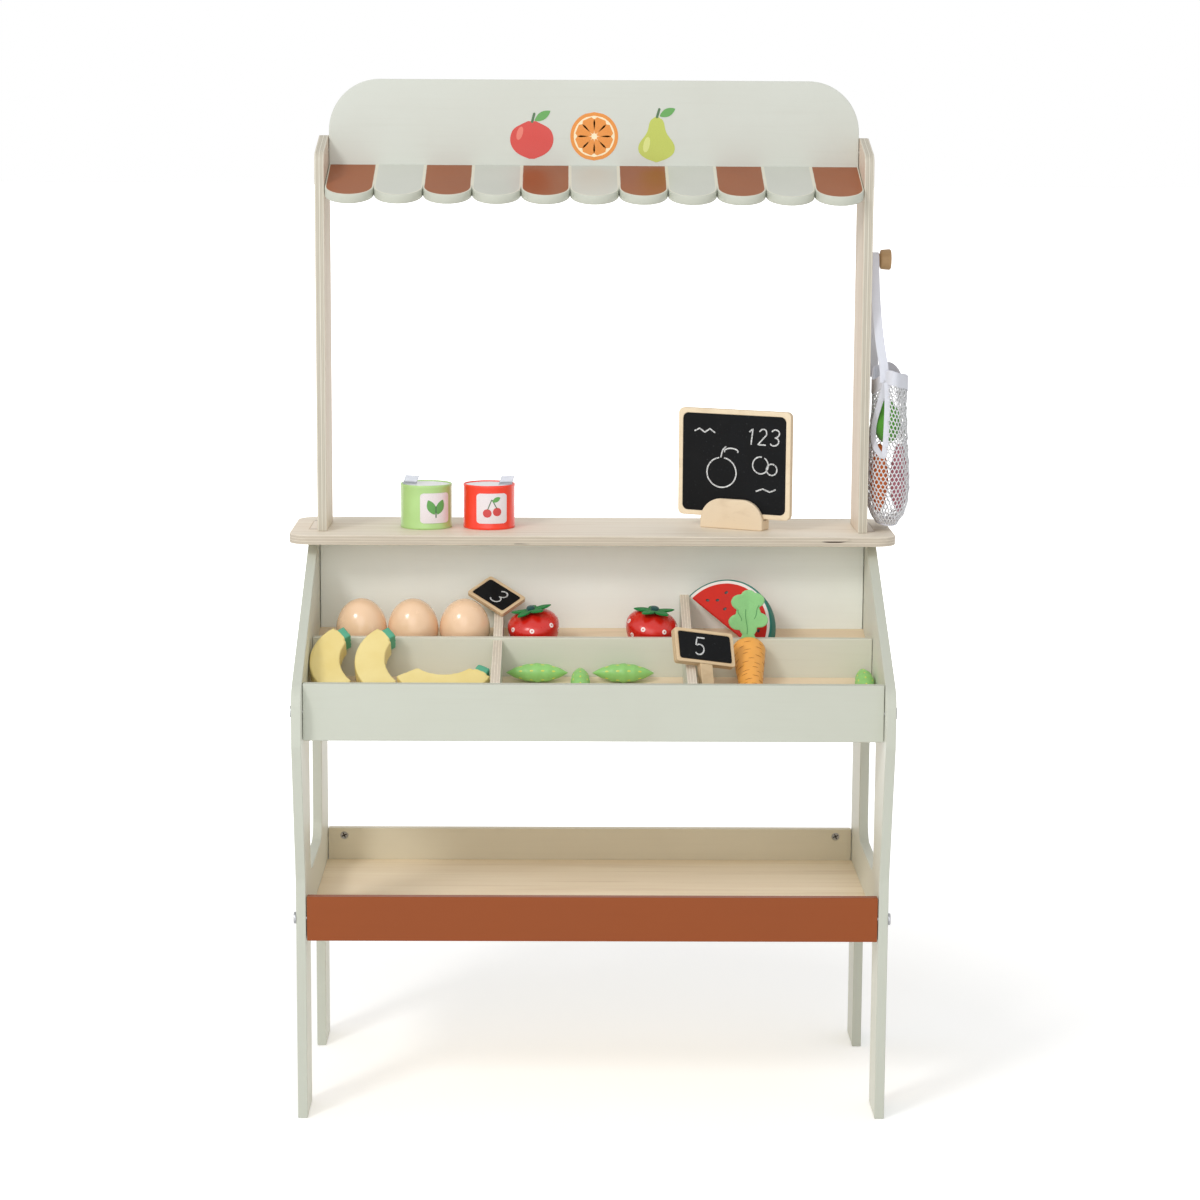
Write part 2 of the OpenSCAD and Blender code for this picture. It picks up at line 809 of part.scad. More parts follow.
// Eggs, in a row from the left divider
egg_gap = 1;
egg_side_gap = 4;
egg_wide_share = 0.42;
egg_base_angle = 78;
egg_y_share = 0.75;
egg_y = tier_in_y + egg_d * egg_y_share;
egg_side_x = divider_x + board_t / 2 + egg_side_gap + egg_d / 2;

module egg(i) {
    on_rear_floor(-egg_side_x - i * (egg_d + egg_gap), egg_y)
        turned(egg_d, egg_h, egg_wide_share, egg_base_angle);
}

module egg_left() {
    color(peach) egg(2);
}

module egg_middle() {
    color(peach) egg(1);
}

module egg_right() {
    color(peach) egg(0);
}

// Strawberries with felt leaves, one at each side of the middle bay
berry_gap = 4;
berry_wide_share = 0.66;
berry_base_angle = 72;
berry_y_share = 0.68;
berry_y = tier_in_y + berry_d * berry_y_share;
berry_base_r = berry_d / 2 * cos(berry_base_angle);
berry_low = berry_h * berry_wide_share;
berry_top = berry_low * sin(berry_base_angle) + berry_h - berry_low;
berry_x = bay_w / 2 - berry_d / 2 - berry_gap - berry_low * sin(berry_tilt);

module berry_place(side) {
    on_rear_floor(side * berry_x, berry_y) translate([0, 0, berry_base_r * sin(berry_tilt)])
        rotate([0, side * berry_tilt, 0]) children();
}

module felt_petal(l, w) {
    bow = (l * l + w * w) / (4 * w);
    intersection() {
        translate([l / 2, bow - w / 2]) circle(r = bow);
        translate([l / 2, w / 2 - bow]) circle(r = bow);
    }
}

module calyx() {
    petals = 5;
    petal_w = calyx_l / 2;
    linear_extrude(felt_t) {
        circle(d = petal_w);
        for (i = [0:petals - 1]) rotate((i + 1 / 4) * 360 / petals) felt_petal(calyx_l, petal_w);
    }
    translate([0, 0, felt_t]) cylinder(d = knob_d, h = knob_h);
}

module strawberry_left() {
    color(berry_red) berry_place(-1) turned(berry_d, berry_h, berry_wide_share, berry_base_angle);
}

module strawberry_left_leaves() {
    color(leaf_green) berry_place(-1) translate([0, 0, berry_top]) calyx();
}

module strawberry_right() {
    color(berry_red) berry_place(1) turned(berry_d, berry_h, berry_wide_share, berry_base_angle);
}

module strawberry_right_leaves() {
    color(leaf_green) berry_place(1) translate([0, 0, berry_top]) calyx();
}

// Watermelon slice: nearly half a disc, standing on one tip and turned towards the left
melon_turn = [60.6, 28.6, -40];
melon_cut_share = 0.1;
melon_x_share = 0.64;
melon_z_share = 0.353;
melon_x = divider_x + board_t / 2 + melon_r * melon_x_share;
melon_y = (tier_in_y + back_y - board_t) / 2;
melon_z = rear_floor_z(melon_y) + melon_r * melon_z_share;

module watermelon_slice() {
    color(melon_red) in_frame() translate([melon_x, melon_y, melon_z]) rotate(melon_turn)
        translate([0, 0, -melon_t / 2]) linear_extrude(melon_t) intersection() {
            circle(r = melon_r);
            translate([-melon_r, melon_r * melon_cut_share]) square([2 * melon_r, melon_r]);
        }
}

// Carrot: its round tip stands on the front floor and its dome leans on the tier board's face
carrot_lean = 58;
carrot_dome_share = 0.6;
carrot_dome = carrot_d / 2 * carrot_dome_share;
carrot_tip_r = carrot_tip_d / 2;
carrot_dome_reach = norm([carrot_dome * sin(carrot_lean), carrot_d / 2 * cos(carrot_lean)]);
carrot_tip_y = tier_y - seat - (carrot_l - carrot_dome - carrot_tip_r) * sin(carrot_lean) - carrot_dome_reach;
carrot_tip_z = front_floor_z(carrot_tip_y) + (carrot_tip_r + seat) / cos(floor_slope);
carrot_x = divider_x + bay_w / 3;

module carrot_place() {
    in_frame() translate([carrot_x, carrot_tip_y, carrot_tip_z]) rotate([-carrot_lean, 0, 0])
        translate([0, 0, -carrot_tip_r]) children();
}

module carrot_body() {
    color(carrot_orange) carrot_place() rotate_extrude() polygon(concat(
        [[0, 0]],
        [for (a = [-80:10:0]) carrot_tip_r * [cos(a), 1 + sin(a)]],
        [for (a = [0:10:80]) [carrot_d / 2 * cos(a), carrot_l - carrot_dome * (1 - sin(a))]],
        [[0, carrot_l]]
    ));
}

// One felt leaf: lobes as [across, along, radius] in shares of the leaf's length
leaf_lobe_shares = [
    [0, 0.06, 0.12], [0, 0.25, 0.14], [-0.17, 0.38, 0.15], [0.18, 0.42, 0.14], [0, 0.55, 0.2],
    [-0.13, 0.76, 0.15], [0.12, 0.8, 0.14], [0, 0.88, 0.12]
];

module leaf_outline() {
    intersection() {
        union() for (s = leaf_lobe_shares) translate([s.x, s.y] * leaf_l) circle(r = s.z * leaf_l);
        translate([-leaf_l, 0]) square([2 * leaf_l, leaf_l]);
    }
}

// Two leaves, which rise steeper than the carrot
leaf_lean = 6;
leaf_fan = 18;
leaf_lift_share = 0.05;

module carrot_leaves() {
    color(pod_green) carrot_place() translate([0, 0, carrot_l]) rotate([carrot_lean - leaf_lean, 0, 0])
        translate([0, 0, leaf_l * leaf_lift_share]) for (a = [-leaf_fan, leaf_fan])
            rotate([90, 0, a]) translate([0, 0, -felt_t / 2]) linear_extrude(felt_t) leaf_outline();
}

// Pea pods: spindles that lie on the front floor
pod_gap = 1.2;
pod_row_y = tier_y - pod_d / 2 - 2 * pod_gap;
pod_along_y = tier_y - pod_l / 2 - pod_gap;
pod_shift_share = -0.07;
pod_x = bay_w * pod_shift_share;
pod_step = pod_d / 2 + pod_l / 2 + 2 * pod_gap;

// Half the length of the arc that a pod's outline follows, as an angle
pod_bow = (pod_l * pod_l + pod_d * pod_d) / (4 * pod_d);
pod_half_angle = asin(pod_l / 2 / pod_bow);
pod_steps = 8;

module pod() {
    rotate([0, 90, 0]) rotate_extrude() polygon([
        for (i = [-pod_steps:pod_steps])
            let (a = pod_half_angle * i / pod_steps)
            [max(0, pod_d / 2 - pod_bow * (1 - cos(a))), pod_bow * sin(a)]
    ]);
}

module pod_on_floor(x, y, turn) {
    color(pod_green) in_frame() translate([x, y, front_floor_z(y)]) rotate([floor_slope, 0, 0])
        translate([0, 0, pod_d / 2 + seat]) rotate([0, 0, turn]) pod();
}

module pea_pod_left() {
    pod_on_floor(pod_x - pod_step, pod_row_y, 0);
}

module pea_pod_middle() {
    pod_on_floor(pod_x, pod_along_y, 90);
}

module pea_pod_right() {
    pod_on_floor(pod_x + pod_step, pod_row_y, 0);
}

module pea_pod_end() {
    pod_on_floor(inner_x - pod_d / 2 - pod_gap, pod_along_y, 90);
}

// Leans children on the tier board's upper edge, with their lower edge on the front floor.
// Their outline lies in x and y, and they are thick along z, towards the front.
module lean_on_tier(x, lean) {
    run = (tier_top_h - tier_low_h - seat) / (cos(lean) - floor_rise * sin(lean));
    in_frame() translate([x, tier_y - run * sin(lean), tier_top_h - run * cos(lean)])
        rotate([90 - lean, 0, 0]) translate([0, 0, seat]) children();
}

// Bananas: flat-sided crescents, whose outline bulges towards -x, with a stem at the upper end
banana_in_share = 0.8;
banana_in_r = banana_r * banana_in_share;
banana_shift = banana_w + banana_in_r - banana_r;
banana_tip_x = banana_shift * cos(banana_bend);
banana_tip_y = banana_shift * sin(banana_bend);
banana_tip_r = sqrt(banana_in_r * banana_in_r - banana_tip_y * banana_tip_y) - banana_tip_x;
banana_lean = 52;
banana_roll = 8;
banana_foot = banana_r * sin(banana_bend + banana_roll);
banana_half_l = banana_r * sin(banana_bend);
banana_gap = 1;
banana_step_share = 0.85;
banana_step = banana_step_share * banana_r;

module banana_outline() {
    mid_r = (banana_r + banana_tip_r) / 2;
    far = 3 * banana_r;
    intersection() {
        difference() {
            circle(r = banana_r, $fn = 128);
            translate([banana_shift, 0]) circle(r = banana_in_r, $fn = 128);
        }
        polygon([
            [0, 0], far * [-cos(banana_bend), sin(banana_bend)], [-far, 0],
            far * [-cos(banana_bend), -sin(banana_bend)]
        ]);
    }
    rotate(-banana_bend) translate([-mid_r - stem_w / 2, -over]) square([stem_w, stem_l + over]);
}

module standing_banana(x) {
    color(banana_yellow) lean_on_tier(x, banana_lean) translate([0, banana_foot])
        linear_extrude(banana_t) rotate(banana_roll) banana_outline();
}

module banana_left() {
    standing_banana(-inner_x + banana_r + banana_gap);
}

module banana_middle() {
    standing_banana(-inner_x + banana_r + banana_gap + banana_step);
}

module banana_lying() {
    color(banana_yellow) lean_on_tier(-divider_x - board_t / 2 - banana_half_l - banana_gap, banana_lean)
        translate([0, banana_r]) linear_extrude(banana_t) rotate(90) mirror([0, 1]) banana_outline();
}

// Price signs: plywood with a sunk black face, on a stick at the front
sign_corner_share = 0.08;

module sign_face(w, h, t) {
    difference() {
        linear_extrude(t) round_rect(w, h, h * sign_corner_share);
        translate([0, sign_rim, t - sign_sink]) linear_extrude(sign_sink + over)
            round_rect(w - 2 * sign_rim, h - 2 * sign_rim, h * sign_corner_share);
    }
}

// The front sign leans back, turned to the left and rolled to the right; one corner of its stick
// stands on the floor
sign_lean = 31;
sign_yaw = 30;
sign_roll = 12;
sign_y_share = 0.1;
sign_y = tray_in_y + (tier_y - tray_in_y) * sign_y_share;
sign_x_share = 0.095;
sign_x = divider_x + bay_w * sign_x_share;
sign_rise = cos(floor_slope) * cos(sign_lean) - sin(floor_slope) * sin(sign_lean) * cos(sign_yaw);
sign_drop = sin(floor_slope) * sin(sign_yaw) * cos(sign_roll) + sign_rise * sin(sign_roll);
sign_foot = (seat + sign_stick_w / 2 * sign_drop) / sign_rise;

module price_sign_front() {
    stick = [sign_stick_w, sign_stick_l + sign_rim, sign_t - sign_sink];
    color(ply) in_frame() translate([sign_x, sign_y, front_floor_z(sign_y)])
        rotate([90 - sign_lean, 0, sign_yaw]) translate([0, sign_foot, 0]) rotate(-sign_roll) {
            translate([-sign_stick_w / 2, 0, 0]) cube(stick);
            translate([0, sign_stick_l, 0]) sign_face(sign_w, sign_h, sign_t);
        }
}

// The rear sign lies over the left divider and leans back
rear_sign_lean = 58;
rear_sign_roll = 43;
rear_sign_y_share = 0.42;
rear_sign_shift = 3;
rear_sign_y = tier_in_y + (back_y - tier_in_y) * rear_sign_y_share;
rear_divider_rise = (back_low_h + divider_back_h - tier_top_h - divider_lip) / (back_y - tier_in_y);
rear_sign_z = tier_top_h + divider_lip + (rear_sign_y - tier_in_y) * rear_divider_rise;
rear_sign_low = rear_sign_w / 2 * sin(rear_sign_roll) + rear_sign_h / 2 * cos(rear_sign_roll);

module price_sign_rear() {
    color(ply) in_frame() translate([-divider_x - rear_sign_shift, rear_sign_y, rear_sign_z])
        rotate([90 - rear_sign_lean, 0, 0]) translate([0, rear_sign_low, seat]) rotate(-rear_sign_roll)
            translate([0, -rear_sign_h / 2, 0]) sign_face(rear_sign_w, rear_sign_h, rear_sign_t);
}

// Tins on the counter, each with a lid in its rim and a bent pull tab
tin_y_share = 0.48;
tin_y = counter_front_y + counter_d * tin_y_share;
tin_green_share = -0.278;
tin_green_x = counter_w * tin_green_share;
tin_red_share = -0.173;
tin_red_x = counter_w * tin_red_share;

module at_tin(x) {
    in_frame() translate([x, tin_y, counter_top_h]) children();
}

module tin_lid_space(h) {
    translate([0, 0, tin_h - tin_sink - lid_t]) cylinder(d = tin_d - 2 * tin_rim, h = h);
}

module tin_body() {
    difference() {
        cylinder(d = tin_d, h = tin_h);
        tin_lid_space(lid_t + tin_sink + over);
    }
}

module tin_lid() {
    tin_lid_space(lid_t);
}

module tin_tab(x) {
    translate([x - tab_w / 2, -tab_l / 2, tin_h - tin_sink]) rotate([90, 0, 90]) linear_extrude(tab_w)
        polygon([
            [0, 0], [tab_l, 0], [tab_l + tab_t, tab_rise], [tab_l, tab_rise], [tab_l - tab_t, tab_t],
            [0, tab_t]
        ]);
}

module tin_green_body() {
    color(tin_green) at_tin(tin_green_x) tin_body();
}

module tin_green_lid() {
    color(white) at_tin(tin_green_x) tin_lid();
}

module tin_green_tab() {
    color(silver) at_tin(tin_green_x) tin_tab(-tin_d / 2 + tin_rim + tab_w / 2 + tab_t);
}

module tin_red_body() {
    color(tin_red) at_tin(tin_red_x) tin_body();
}

module tin_red_lid() {
    color(white) at_tin(tin_red_x) tin_lid();
}

module tin_red_tab() {
    color(silver) at_tin(tin_red_x) tin_tab(tin_d / 2 - tin_rim - tab_w / 2 - tab_t);
}

// Chalkboard: a frame with a slate let into its front, in a slotted stand
stand_x_share = 0.238;
stand_y_share = 0.46;
stand_x = counter_w * stand_x_share;
stand_y = counter_front_y + counter_d * stand_y_share;
slot_w = slate_frame_t + 2 * slot_clear;

module at_stand() {
    in_frame() translate([stand_x, stand_y, counter_top_h]) rotate([0, 0, -slate_turn]) children();
}

// Stands an outline of [x, z] points upright, with its front face at y
module upright(y, thick) {
    translate([0, y + thick, 0]) rotate([90, 0, 0]) linear_extrude(thick) children();
}

module slate_outline() {
    translate([0, slate_rim]) round_rect(slate_w - 2 * slate_rim, slate_h - 2 * slate_rim, slate_r);
}

module chalkboard_frame() {
    color(ply) at_stand() translate([0, 0, slot_floor]) difference() {
        upright(-slate_frame_t / 2, slate_frame_t) round_rect(slate_w, slate_h, slate_r);
        upright(-slate_frame_t / 2 - over, slate_t + over) slate_outline();
    }
}

module chalkboard_slate() {
    color(slate_black) at_stand() translate([0, 0, slot_floor])
        upright(-slate_frame_t / 2, slate_t) slate_outline();
}

module chalkboard_stand() {
    color(ply) at_stand() difference() {
        upright(-stand_d / 2, stand_d) round_topped(stand_w, stand_h, stand_r);
        translate([-stand_w, -slot_w / 2, slot_floor]) cube([2 * stand_w, slot_w, stand_h]);
    }
}

// Net bag: an open shell of oval rings, as [height, thickness, width] in shares of the bag's sizes
bag_ring_shares = [
    [0, 0.34, 0.42], [0.035, 0.62, 0.66], [0.12, 0.9, 0.88], [0.28, 1, 1], [0.55, 0.86, 0.97],
    [0.8, 0.74, 0.93], [1, 0.78, 0.9]
];
bag_sides = 28;

// A closed skin over rings of points, each ring with the same count
module skin(rings) {
    n = len(rings[0]);
    last = len(rings) - 1;
    points = [for (r = rings) each r];
    walls = [for (i = [0:last - 1], j = [0:n - 1]) each
        let (a = i * n + j, b = i * n + (j + 1) % n)
        [[a, a + n, b + n], [a, b + n, b]]];
    ends = [
        [for (j = [0:n - 1]) j],
        [for (j = [n - 1:-1:0]) last * n + j]
    ];
    polyhedron(points = points, faces = concat(walls, ends));
}

function bag_ring(s, wall, lift) = [for (j = [0:bag_sides - 1]) [
    bag_x + (s.y * bag_t / 2 - wall) * cos(j * 360 / bag_sides),
    hook_y + (s.z * bag_w / 2 - wall) * sin(j * 360 / bag_sides),
    bag_low_z + s.x * bag_h + lift
]];

module net_bag() {
    rings = len(bag_ring_shares);
    color(net_white) in_frame() skin(concat(
        [for (s = bag_ring_shares) bag_ring(s, 0, 0)],
        [for (i = [rings - 1:-1:0]) bag_ring(bag_ring_shares[i], bag_wall, i == rings - 1 ? 0 : bag_wall)]
    ));
}

// Strap: a flat band from the front of the hem over the hook's stem to the back of the hem
hem_share = bag_ring_shares[len(bag_ring_shares) - 1].z;
strap_y = hem_share * bag_w / 2 - bag_wall / 2;
strap_r = hook_stem_d / 2 + seat + strap_t / 2;
strap_run = [strap_y, hook_z - bag_hem_z];
strap_lean = atan2(strap_run.x, strap_run.y) - asin(strap_r / norm(strap_run));

function strap_ring(x, y, z, across) = [
    [x - strap_w / 2, y - across.x, z - across.y], [x + strap_w / 2, y - across.x, z - across.y],
    [x + strap_w / 2, y + across.x, z + across.y], [x - strap_w / 2, y + across.x, z + across.y]
];

function strap_arc_ring(a) = strap_ring(
    strap_x, hook_y + strap_r * cos(a), hook_z + strap_r * sin(a), strap_t / 2 * [cos(a), sin(a)]);

module bag_strap() {
    end_across = [strap_t / 2 / cos(strap_lean), 0];
    arc_from = 180 - strap_lean;
    arc_to = strap_lean;
    arc_steps = 12;
    color(net_white) in_frame() skin(concat(
        [strap_ring(bag_x, hook_y - strap_y, bag_hem_z, -end_across)],
        [for (i = [0:arc_steps]) strap_arc_ring(arc_from + (arc_to - arc_from) * i / arc_steps)],
        [strap_ring(bag_x, hook_y + strap_y, bag_hem_z, end_across)]
    ));
}

// Soft fruit at the front of the bag: two long ones side by side and one on top of them
bag_fruit_y_share = -0.28;
bag_fruit_y = hook_y + bag_w / 2 * bag_fruit_y_share;
bag_fruit_z_share = 0.145;
bag_fruit_z = bag_low_z + bag_h * bag_fruit_z_share;
bag_fruit_x = (bag_fruit_d + seat) / 2;
bag_fruit_reach = (bag_fruit_d + bag_apple_d) / 2 + seat;
bag_apple_step = sqrt(bag_fruit_reach * bag_fruit_reach - bag_fruit_x * bag_fruit_x);
bag_apple_z = bag_fruit_z + bag_fruit_l - bag_fruit_d + bag_apple_step;

// A long fruit with round ends, placed by the middle of its lower end
module bag_fruit(x, z, d, l) {
    in_frame() translate([x, bag_fruit_y, z]) rotate_extrude() polygon(concat(
        [[0, -d / 2]],
        [for (a = [-80:10:0]) d / 2 * [cos(a), sin(a)]],
        [for (a = [0:10:80]) [d / 2 * cos(a), l - d + d / 2 * sin(a)]],
        [[0, l - d / 2]]
    ));
}

module bag_fruit_green() {
    color(apple_green) bag_fruit(bag_x, bag_apple_z, bag_apple_d, bag_apple_l);
}

module bag_fruit_orange() {
    color(orange) bag_fruit(bag_x - bag_fruit_x, bag_fruit_z, bag_fruit_d, bag_fruit_l);
}

module bag_fruit_mauve() {
    color(mauve) bag_fruit(bag_x + bag_fruit_x, bag_fruit_z, bag_fruit_d, bag_fruit_l);
}

// Each node is drawn by its own line
side_panel_left();
side_panel_right();
counter_top();
post_left();
post_right();
header_board();
awning_board();
tray_front_board();
tier_board();
display_back_board();
front_tray_floor();
rear_tier_floor();
front_divider_left();
front_divider_right();
rear_divider_left();
rear_divider_right();
lower_shelf();
shelf_front_lip();
shelf_back_board();
bag_hook();
connector_bolts();
barrel_nuts();
post_bolts();
post_nuts();
egg_left();
egg_middle();
egg_right();
strawberry_left();
strawberry_left_leaves();
strawberry_right();
strawberry_right_leaves();
watermelon_slice();
carrot_body();
carrot_leaves();
banana_left();
banana_middle();
banana_lying();
pea_pod_left();
pea_pod_middle();
pea_pod_right();
pea_pod_end();
price_sign_front();
price_sign_rear();
tin_green_body();
tin_green_lid();
tin_green_tab();
tin_red_body();
tin_red_lid();
tin_red_tab();
chalkboard_frame();
chalkboard_slate();
chalkboard_stand();
net_bag();
bag_strap();
bag_fruit_green();
bag_fruit_orange();
bag_fruit_mauve();
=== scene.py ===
"""Toy market stall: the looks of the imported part, with its toy goods, net bag, light and camera."""
import math

import bmesh
import bpy
import numpy as np
from mathutils import Euler, Matrix, Vector


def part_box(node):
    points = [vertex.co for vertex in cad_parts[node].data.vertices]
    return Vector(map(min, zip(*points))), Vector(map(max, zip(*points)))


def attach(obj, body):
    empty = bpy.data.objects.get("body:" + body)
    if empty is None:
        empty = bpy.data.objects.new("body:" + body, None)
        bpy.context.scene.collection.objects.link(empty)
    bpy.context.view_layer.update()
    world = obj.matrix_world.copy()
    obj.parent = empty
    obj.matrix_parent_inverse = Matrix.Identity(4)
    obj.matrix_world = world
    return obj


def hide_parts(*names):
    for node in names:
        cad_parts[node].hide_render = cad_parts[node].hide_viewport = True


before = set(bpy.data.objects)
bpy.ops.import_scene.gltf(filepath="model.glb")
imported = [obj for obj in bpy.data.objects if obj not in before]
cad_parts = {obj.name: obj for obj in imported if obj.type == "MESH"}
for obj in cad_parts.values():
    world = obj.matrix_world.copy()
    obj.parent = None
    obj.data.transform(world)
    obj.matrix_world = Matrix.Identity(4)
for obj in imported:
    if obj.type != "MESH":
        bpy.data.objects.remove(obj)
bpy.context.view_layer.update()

# The stall is written in its own millimetres, with x = 0 in its middle and y = 0 at its legs' front
MM = 0.001
SHIFT = Vector((-9.55, -135.25, 0.0))
TO_FRAME = Matrix.Scale(MM, 4) @ Matrix.Translation(SHIFT)
X, Z = (1, 0, 0), (0, 0, 1)


def move(x, y, z):
    return Matrix.Translation((x, y, z))


def turn(degrees, axis):
    return Matrix.Rotation(math.radians(degrees), 4, axis)


def stretch(x, y):
    return Matrix.Diagonal((x, y, 1, 1))


def sin(degrees):
    return math.sin(math.radians(degrees))


def cos(degrees):
    return math.cos(math.radians(degrees))


def root(value):
    return math.sqrt(max(0.0, value))


def tuned(made, **settings):
    """Sets several properties of one thing."""
    for key, value in settings.items():
        setattr(made, key, value)
    return made


def add(name, data):
    """A new object in the scene."""
    made = bpy.data.objects.new(name, data)
    bpy.context.scene.collection.objects.link(made)
    return made


# Camera: fitted to the stall's edges in the photograph
CAMERA_AT = (-31.7, -2972.2, 1016.8)
CAMERA_LENS, CAMERA_SENSOR = 90.7, 36.0
CAMERA_PITCH, CAMERA_YAW, CAMERA_ROLL = 0.1597, -0.0126, 0.0058
camera = add("camera", tuned(bpy.data.cameras.new("camera"), lens=CAMERA_LENS, sensor_width=CAMERA_SENSOR))
camera_turn = Euler((math.pi / 2 - CAMERA_PITCH, 0.0, CAMERA_YAW)).to_matrix()
camera_turn = camera_turn @ Matrix.Rotation(CAMERA_ROLL, 3, "Z")
camera.matrix_world = Matrix.Translation(TO_FRAME @ Vector(CAMERA_AT)) @ camera_turn.to_4x4()
bpy.context.scene.camera = camera
bpy.context.scene.view_settings.view_transform = "Standard"


# Materials, written as node expressions over the object's own coordinates in metres
def rgb(r, g, b):
    """A colour of 0 to 255 as it shows on a screen, made linear."""
    shares = (r / 255, g / 255, b / 255)
    return (*(c / 12.92 if c <= 0.04045 else ((c + 0.055) / 1.055) ** 2.4 for c in shares), 1.0)


def shade(colour, k, warm=0.0):
    r, g, b = colour[:3]
    return (min(1.0, r * k * (1 + warm)), min(1.0, g * k), min(1.0, b * k * (1 - warm)), 1.0)


NOISE_RANGE = (0.3, 0.7)


class Look:
    """One material's node tree."""

    def __init__(self, name):
        self.material = tuned(bpy.data.materials.new(name), use_nodes=True)
        self.tree = self.material.node_tree
        self.bsdf = self.tree.nodes["Principled BSDF"]
        where = self.node("ShaderNodeTexCoord")
        self.p = where.outputs["Object"]
        self.normal = where.outputs["Normal"]
        self.bumped = None

    def node(self, kind, **settings):
        return tuned(self.tree.nodes.new(kind), **settings)

    def put(self, socket, value):
        if isinstance(value, bpy.types.NodeSocket):
            self.tree.links.new(value, socket)
        else:
            socket.default_value = value

    def fill(self, made, **inputs):
        """Sets or links a node's inputs, whose names are written with underscores."""
        for key, value in inputs.items():
            self.put(made.inputs[key.replace("_", " ")], value)
        return made.outputs

    def operate(self, kind, operation, values):
        made = self.node(kind, operation=operation)
        for socket, value in zip(made.inputs, values):
            self.put(socket, value)
        return made.outputs

    def math(self, operation, *values):
        return self.operate("ShaderNodeMath", operation, values)[0]

    def vector(self, operation, *values):
        made = self.operate("ShaderNodeVectorMath", operation, values)
        return made["Value" if operation in ("DOT_PRODUCT", "LENGTH") else "Vector"]

    def dot(self, a, b):
        return self.vector("DOT_PRODUCT", a, b)

    def along(self, axis, origin=(0, 0, 0)):
        return self.dot(self.vector("SUBTRACT", self.p, origin), axis)

    def noise(self, scale, detail=3.0, rough=0.5, twist=0.0, stretched=None):
        where = self.vector("MULTIPLY", self.p, stretched) if stretched else self.p
        made = self.fill(self.node("ShaderNodeTexNoise"), Vector=where, Scale=scale, Detail=detail,
                         Roughness=rough, Distortion=twist)
        return made["Fac"]

    def grain(self, along, near, far, detail, rough, twist):
        """Noise drawn out along one axis: its scale there and across."""
        return self.noise(1.0, detail, rough, twist, [near if i == along else far for i in range(3)])

    def remap(self, value, low, high, to_low=0.0, to_high=1.0):
        made = self.fill(self.node("ShaderNodeMapRange"), Value=value, From_Min=low, From_Max=high,
                         To_Min=to_low, To_Max=to_high)
        return made["Result"]

    def level(self, noise, low, high):
        """A number between low and high by a noise."""
        return self.remap(noise, *NOISE_RANGE, low, high)

    def wavy(self, value, scale, by):
        """A distance that wanders a little to both sides."""
        return self.math("ADD", value, self.remap(self.noise(scale), 0.0, 1.0, -by, by))

    def stripes(self, count):
        """For a running count of stripes: 1 in each second stripe, and the way from a stripe's middle."""
        odd = self.math("FLOORED_MODULO", self.math("FLOOR", count), 2.0)
        return odd, self.math("SUBTRACT", self.math("FRACT", count), 0.5)

    def mix(self, share, a, b):
        made = self.node("ShaderNodeMix", data_type="RGBA")
        for place, value in ((0, share), (6, a), (7, b)):
            self.put(made.inputs[place], value)
        return made.outputs[2]

    def cover(self, under, over, value, low, high, most=1.0):
        """One colour over another, by most where a value has risen from low to high."""
        return self.mix(self.remap(value, low, high, 0.0, most), under, over)

    def blend(self, noise, a, b):
        return self.cover(a, b, noise, *NOISE_RANGE)

    def bump(self, height, strength, depth):
        made = self.node("ShaderNodeBump")
        if self.bumped is not None:
            self.put(made.inputs["Normal"], self.bumped)
        self.bumped = self.fill(made, Strength=strength, Distance=depth, Height=height)["Normal"]

    def done(self, colour, rough, **constants):
        self.fill(self.bsdf, Base_Color=colour, Roughness=rough, **constants)
        if self.bumped is not None:
            self.put(self.bsdf.inputs["Normal"], self.bumped)
        return self.material


CREAM = rgb(199, 202, 189)
CREAM_LINE = rgb(222, 219, 203)
# Painted light: a lighter copy of the cream for the side panels' inner faces, standing in for the light they
# catch
INSIDE_CREAM_PAINTED_LIGHT = rgb(224, 226, 214)
# Painted light: the header, tier, back board and shelf back share the one cream paint; these are lighter
# copies of it, standing in for how light falls on each, and the shelf back's copy is warmer as a painted
# reflection of the wood round it
HEADER_CREAM_PAINTED_LIGHT = rgb(209, 212, 203)
BACK_CREAM_PAINTED_LIGHT = rgb(244, 247, 239)
TIER_CREAM_PAINTED_LIGHT = rgb(218, 217, 201)
SHELF_CREAM_PAINTED_LIGHT = rgb(224, 216, 193)
TERRACOTTA = rgb(147, 73, 28)
PALE_BIRCH = rgb(238, 228, 211)
POST_BIRCH = rgb(228, 213, 195)
EDGE_BIRCH = rgb(217, 207, 190)
POST_EDGE = rgb(212, 207, 192)
TRAY_WOOD = rgb(238, 218, 188)
# Painted light: the shelf's birch is a lighter copy of the tray wood, standing in for light in its shade
# under the tray
SHELF_WOOD_PAINTED_LIGHT = rgb(248, 232, 204)
PLY_VOID = rgb(58, 42, 30)
PLY = 0.01
TENON_TOP, TENON_FADE = 0.5792, 0.0004


def painted(look, colour, along):
    """Rolled paint over wood: broad tone, faint raised grain and roller stipple."""
    tone = look.noise(6.0, 4.0, 0.55)
    grain = look.grain(along, 8.0, 240.0, 4.0, 0.6, 0.5)
    made = look.blend(tone, shade(colour, 0.965, 0.008), shade(colour, 1.03, -0.006))
    made = look.cover(made, shade(colour, 0.93, 0.012), grain, 0.52, 0.75, 0.35)
    look.bump(grain, 0.2, 0.00012)
    look.bump(look.noise(420.0, 2.0), 0.12, 0.00008)
    return made, look.level(tone, 0.38, 0.5)


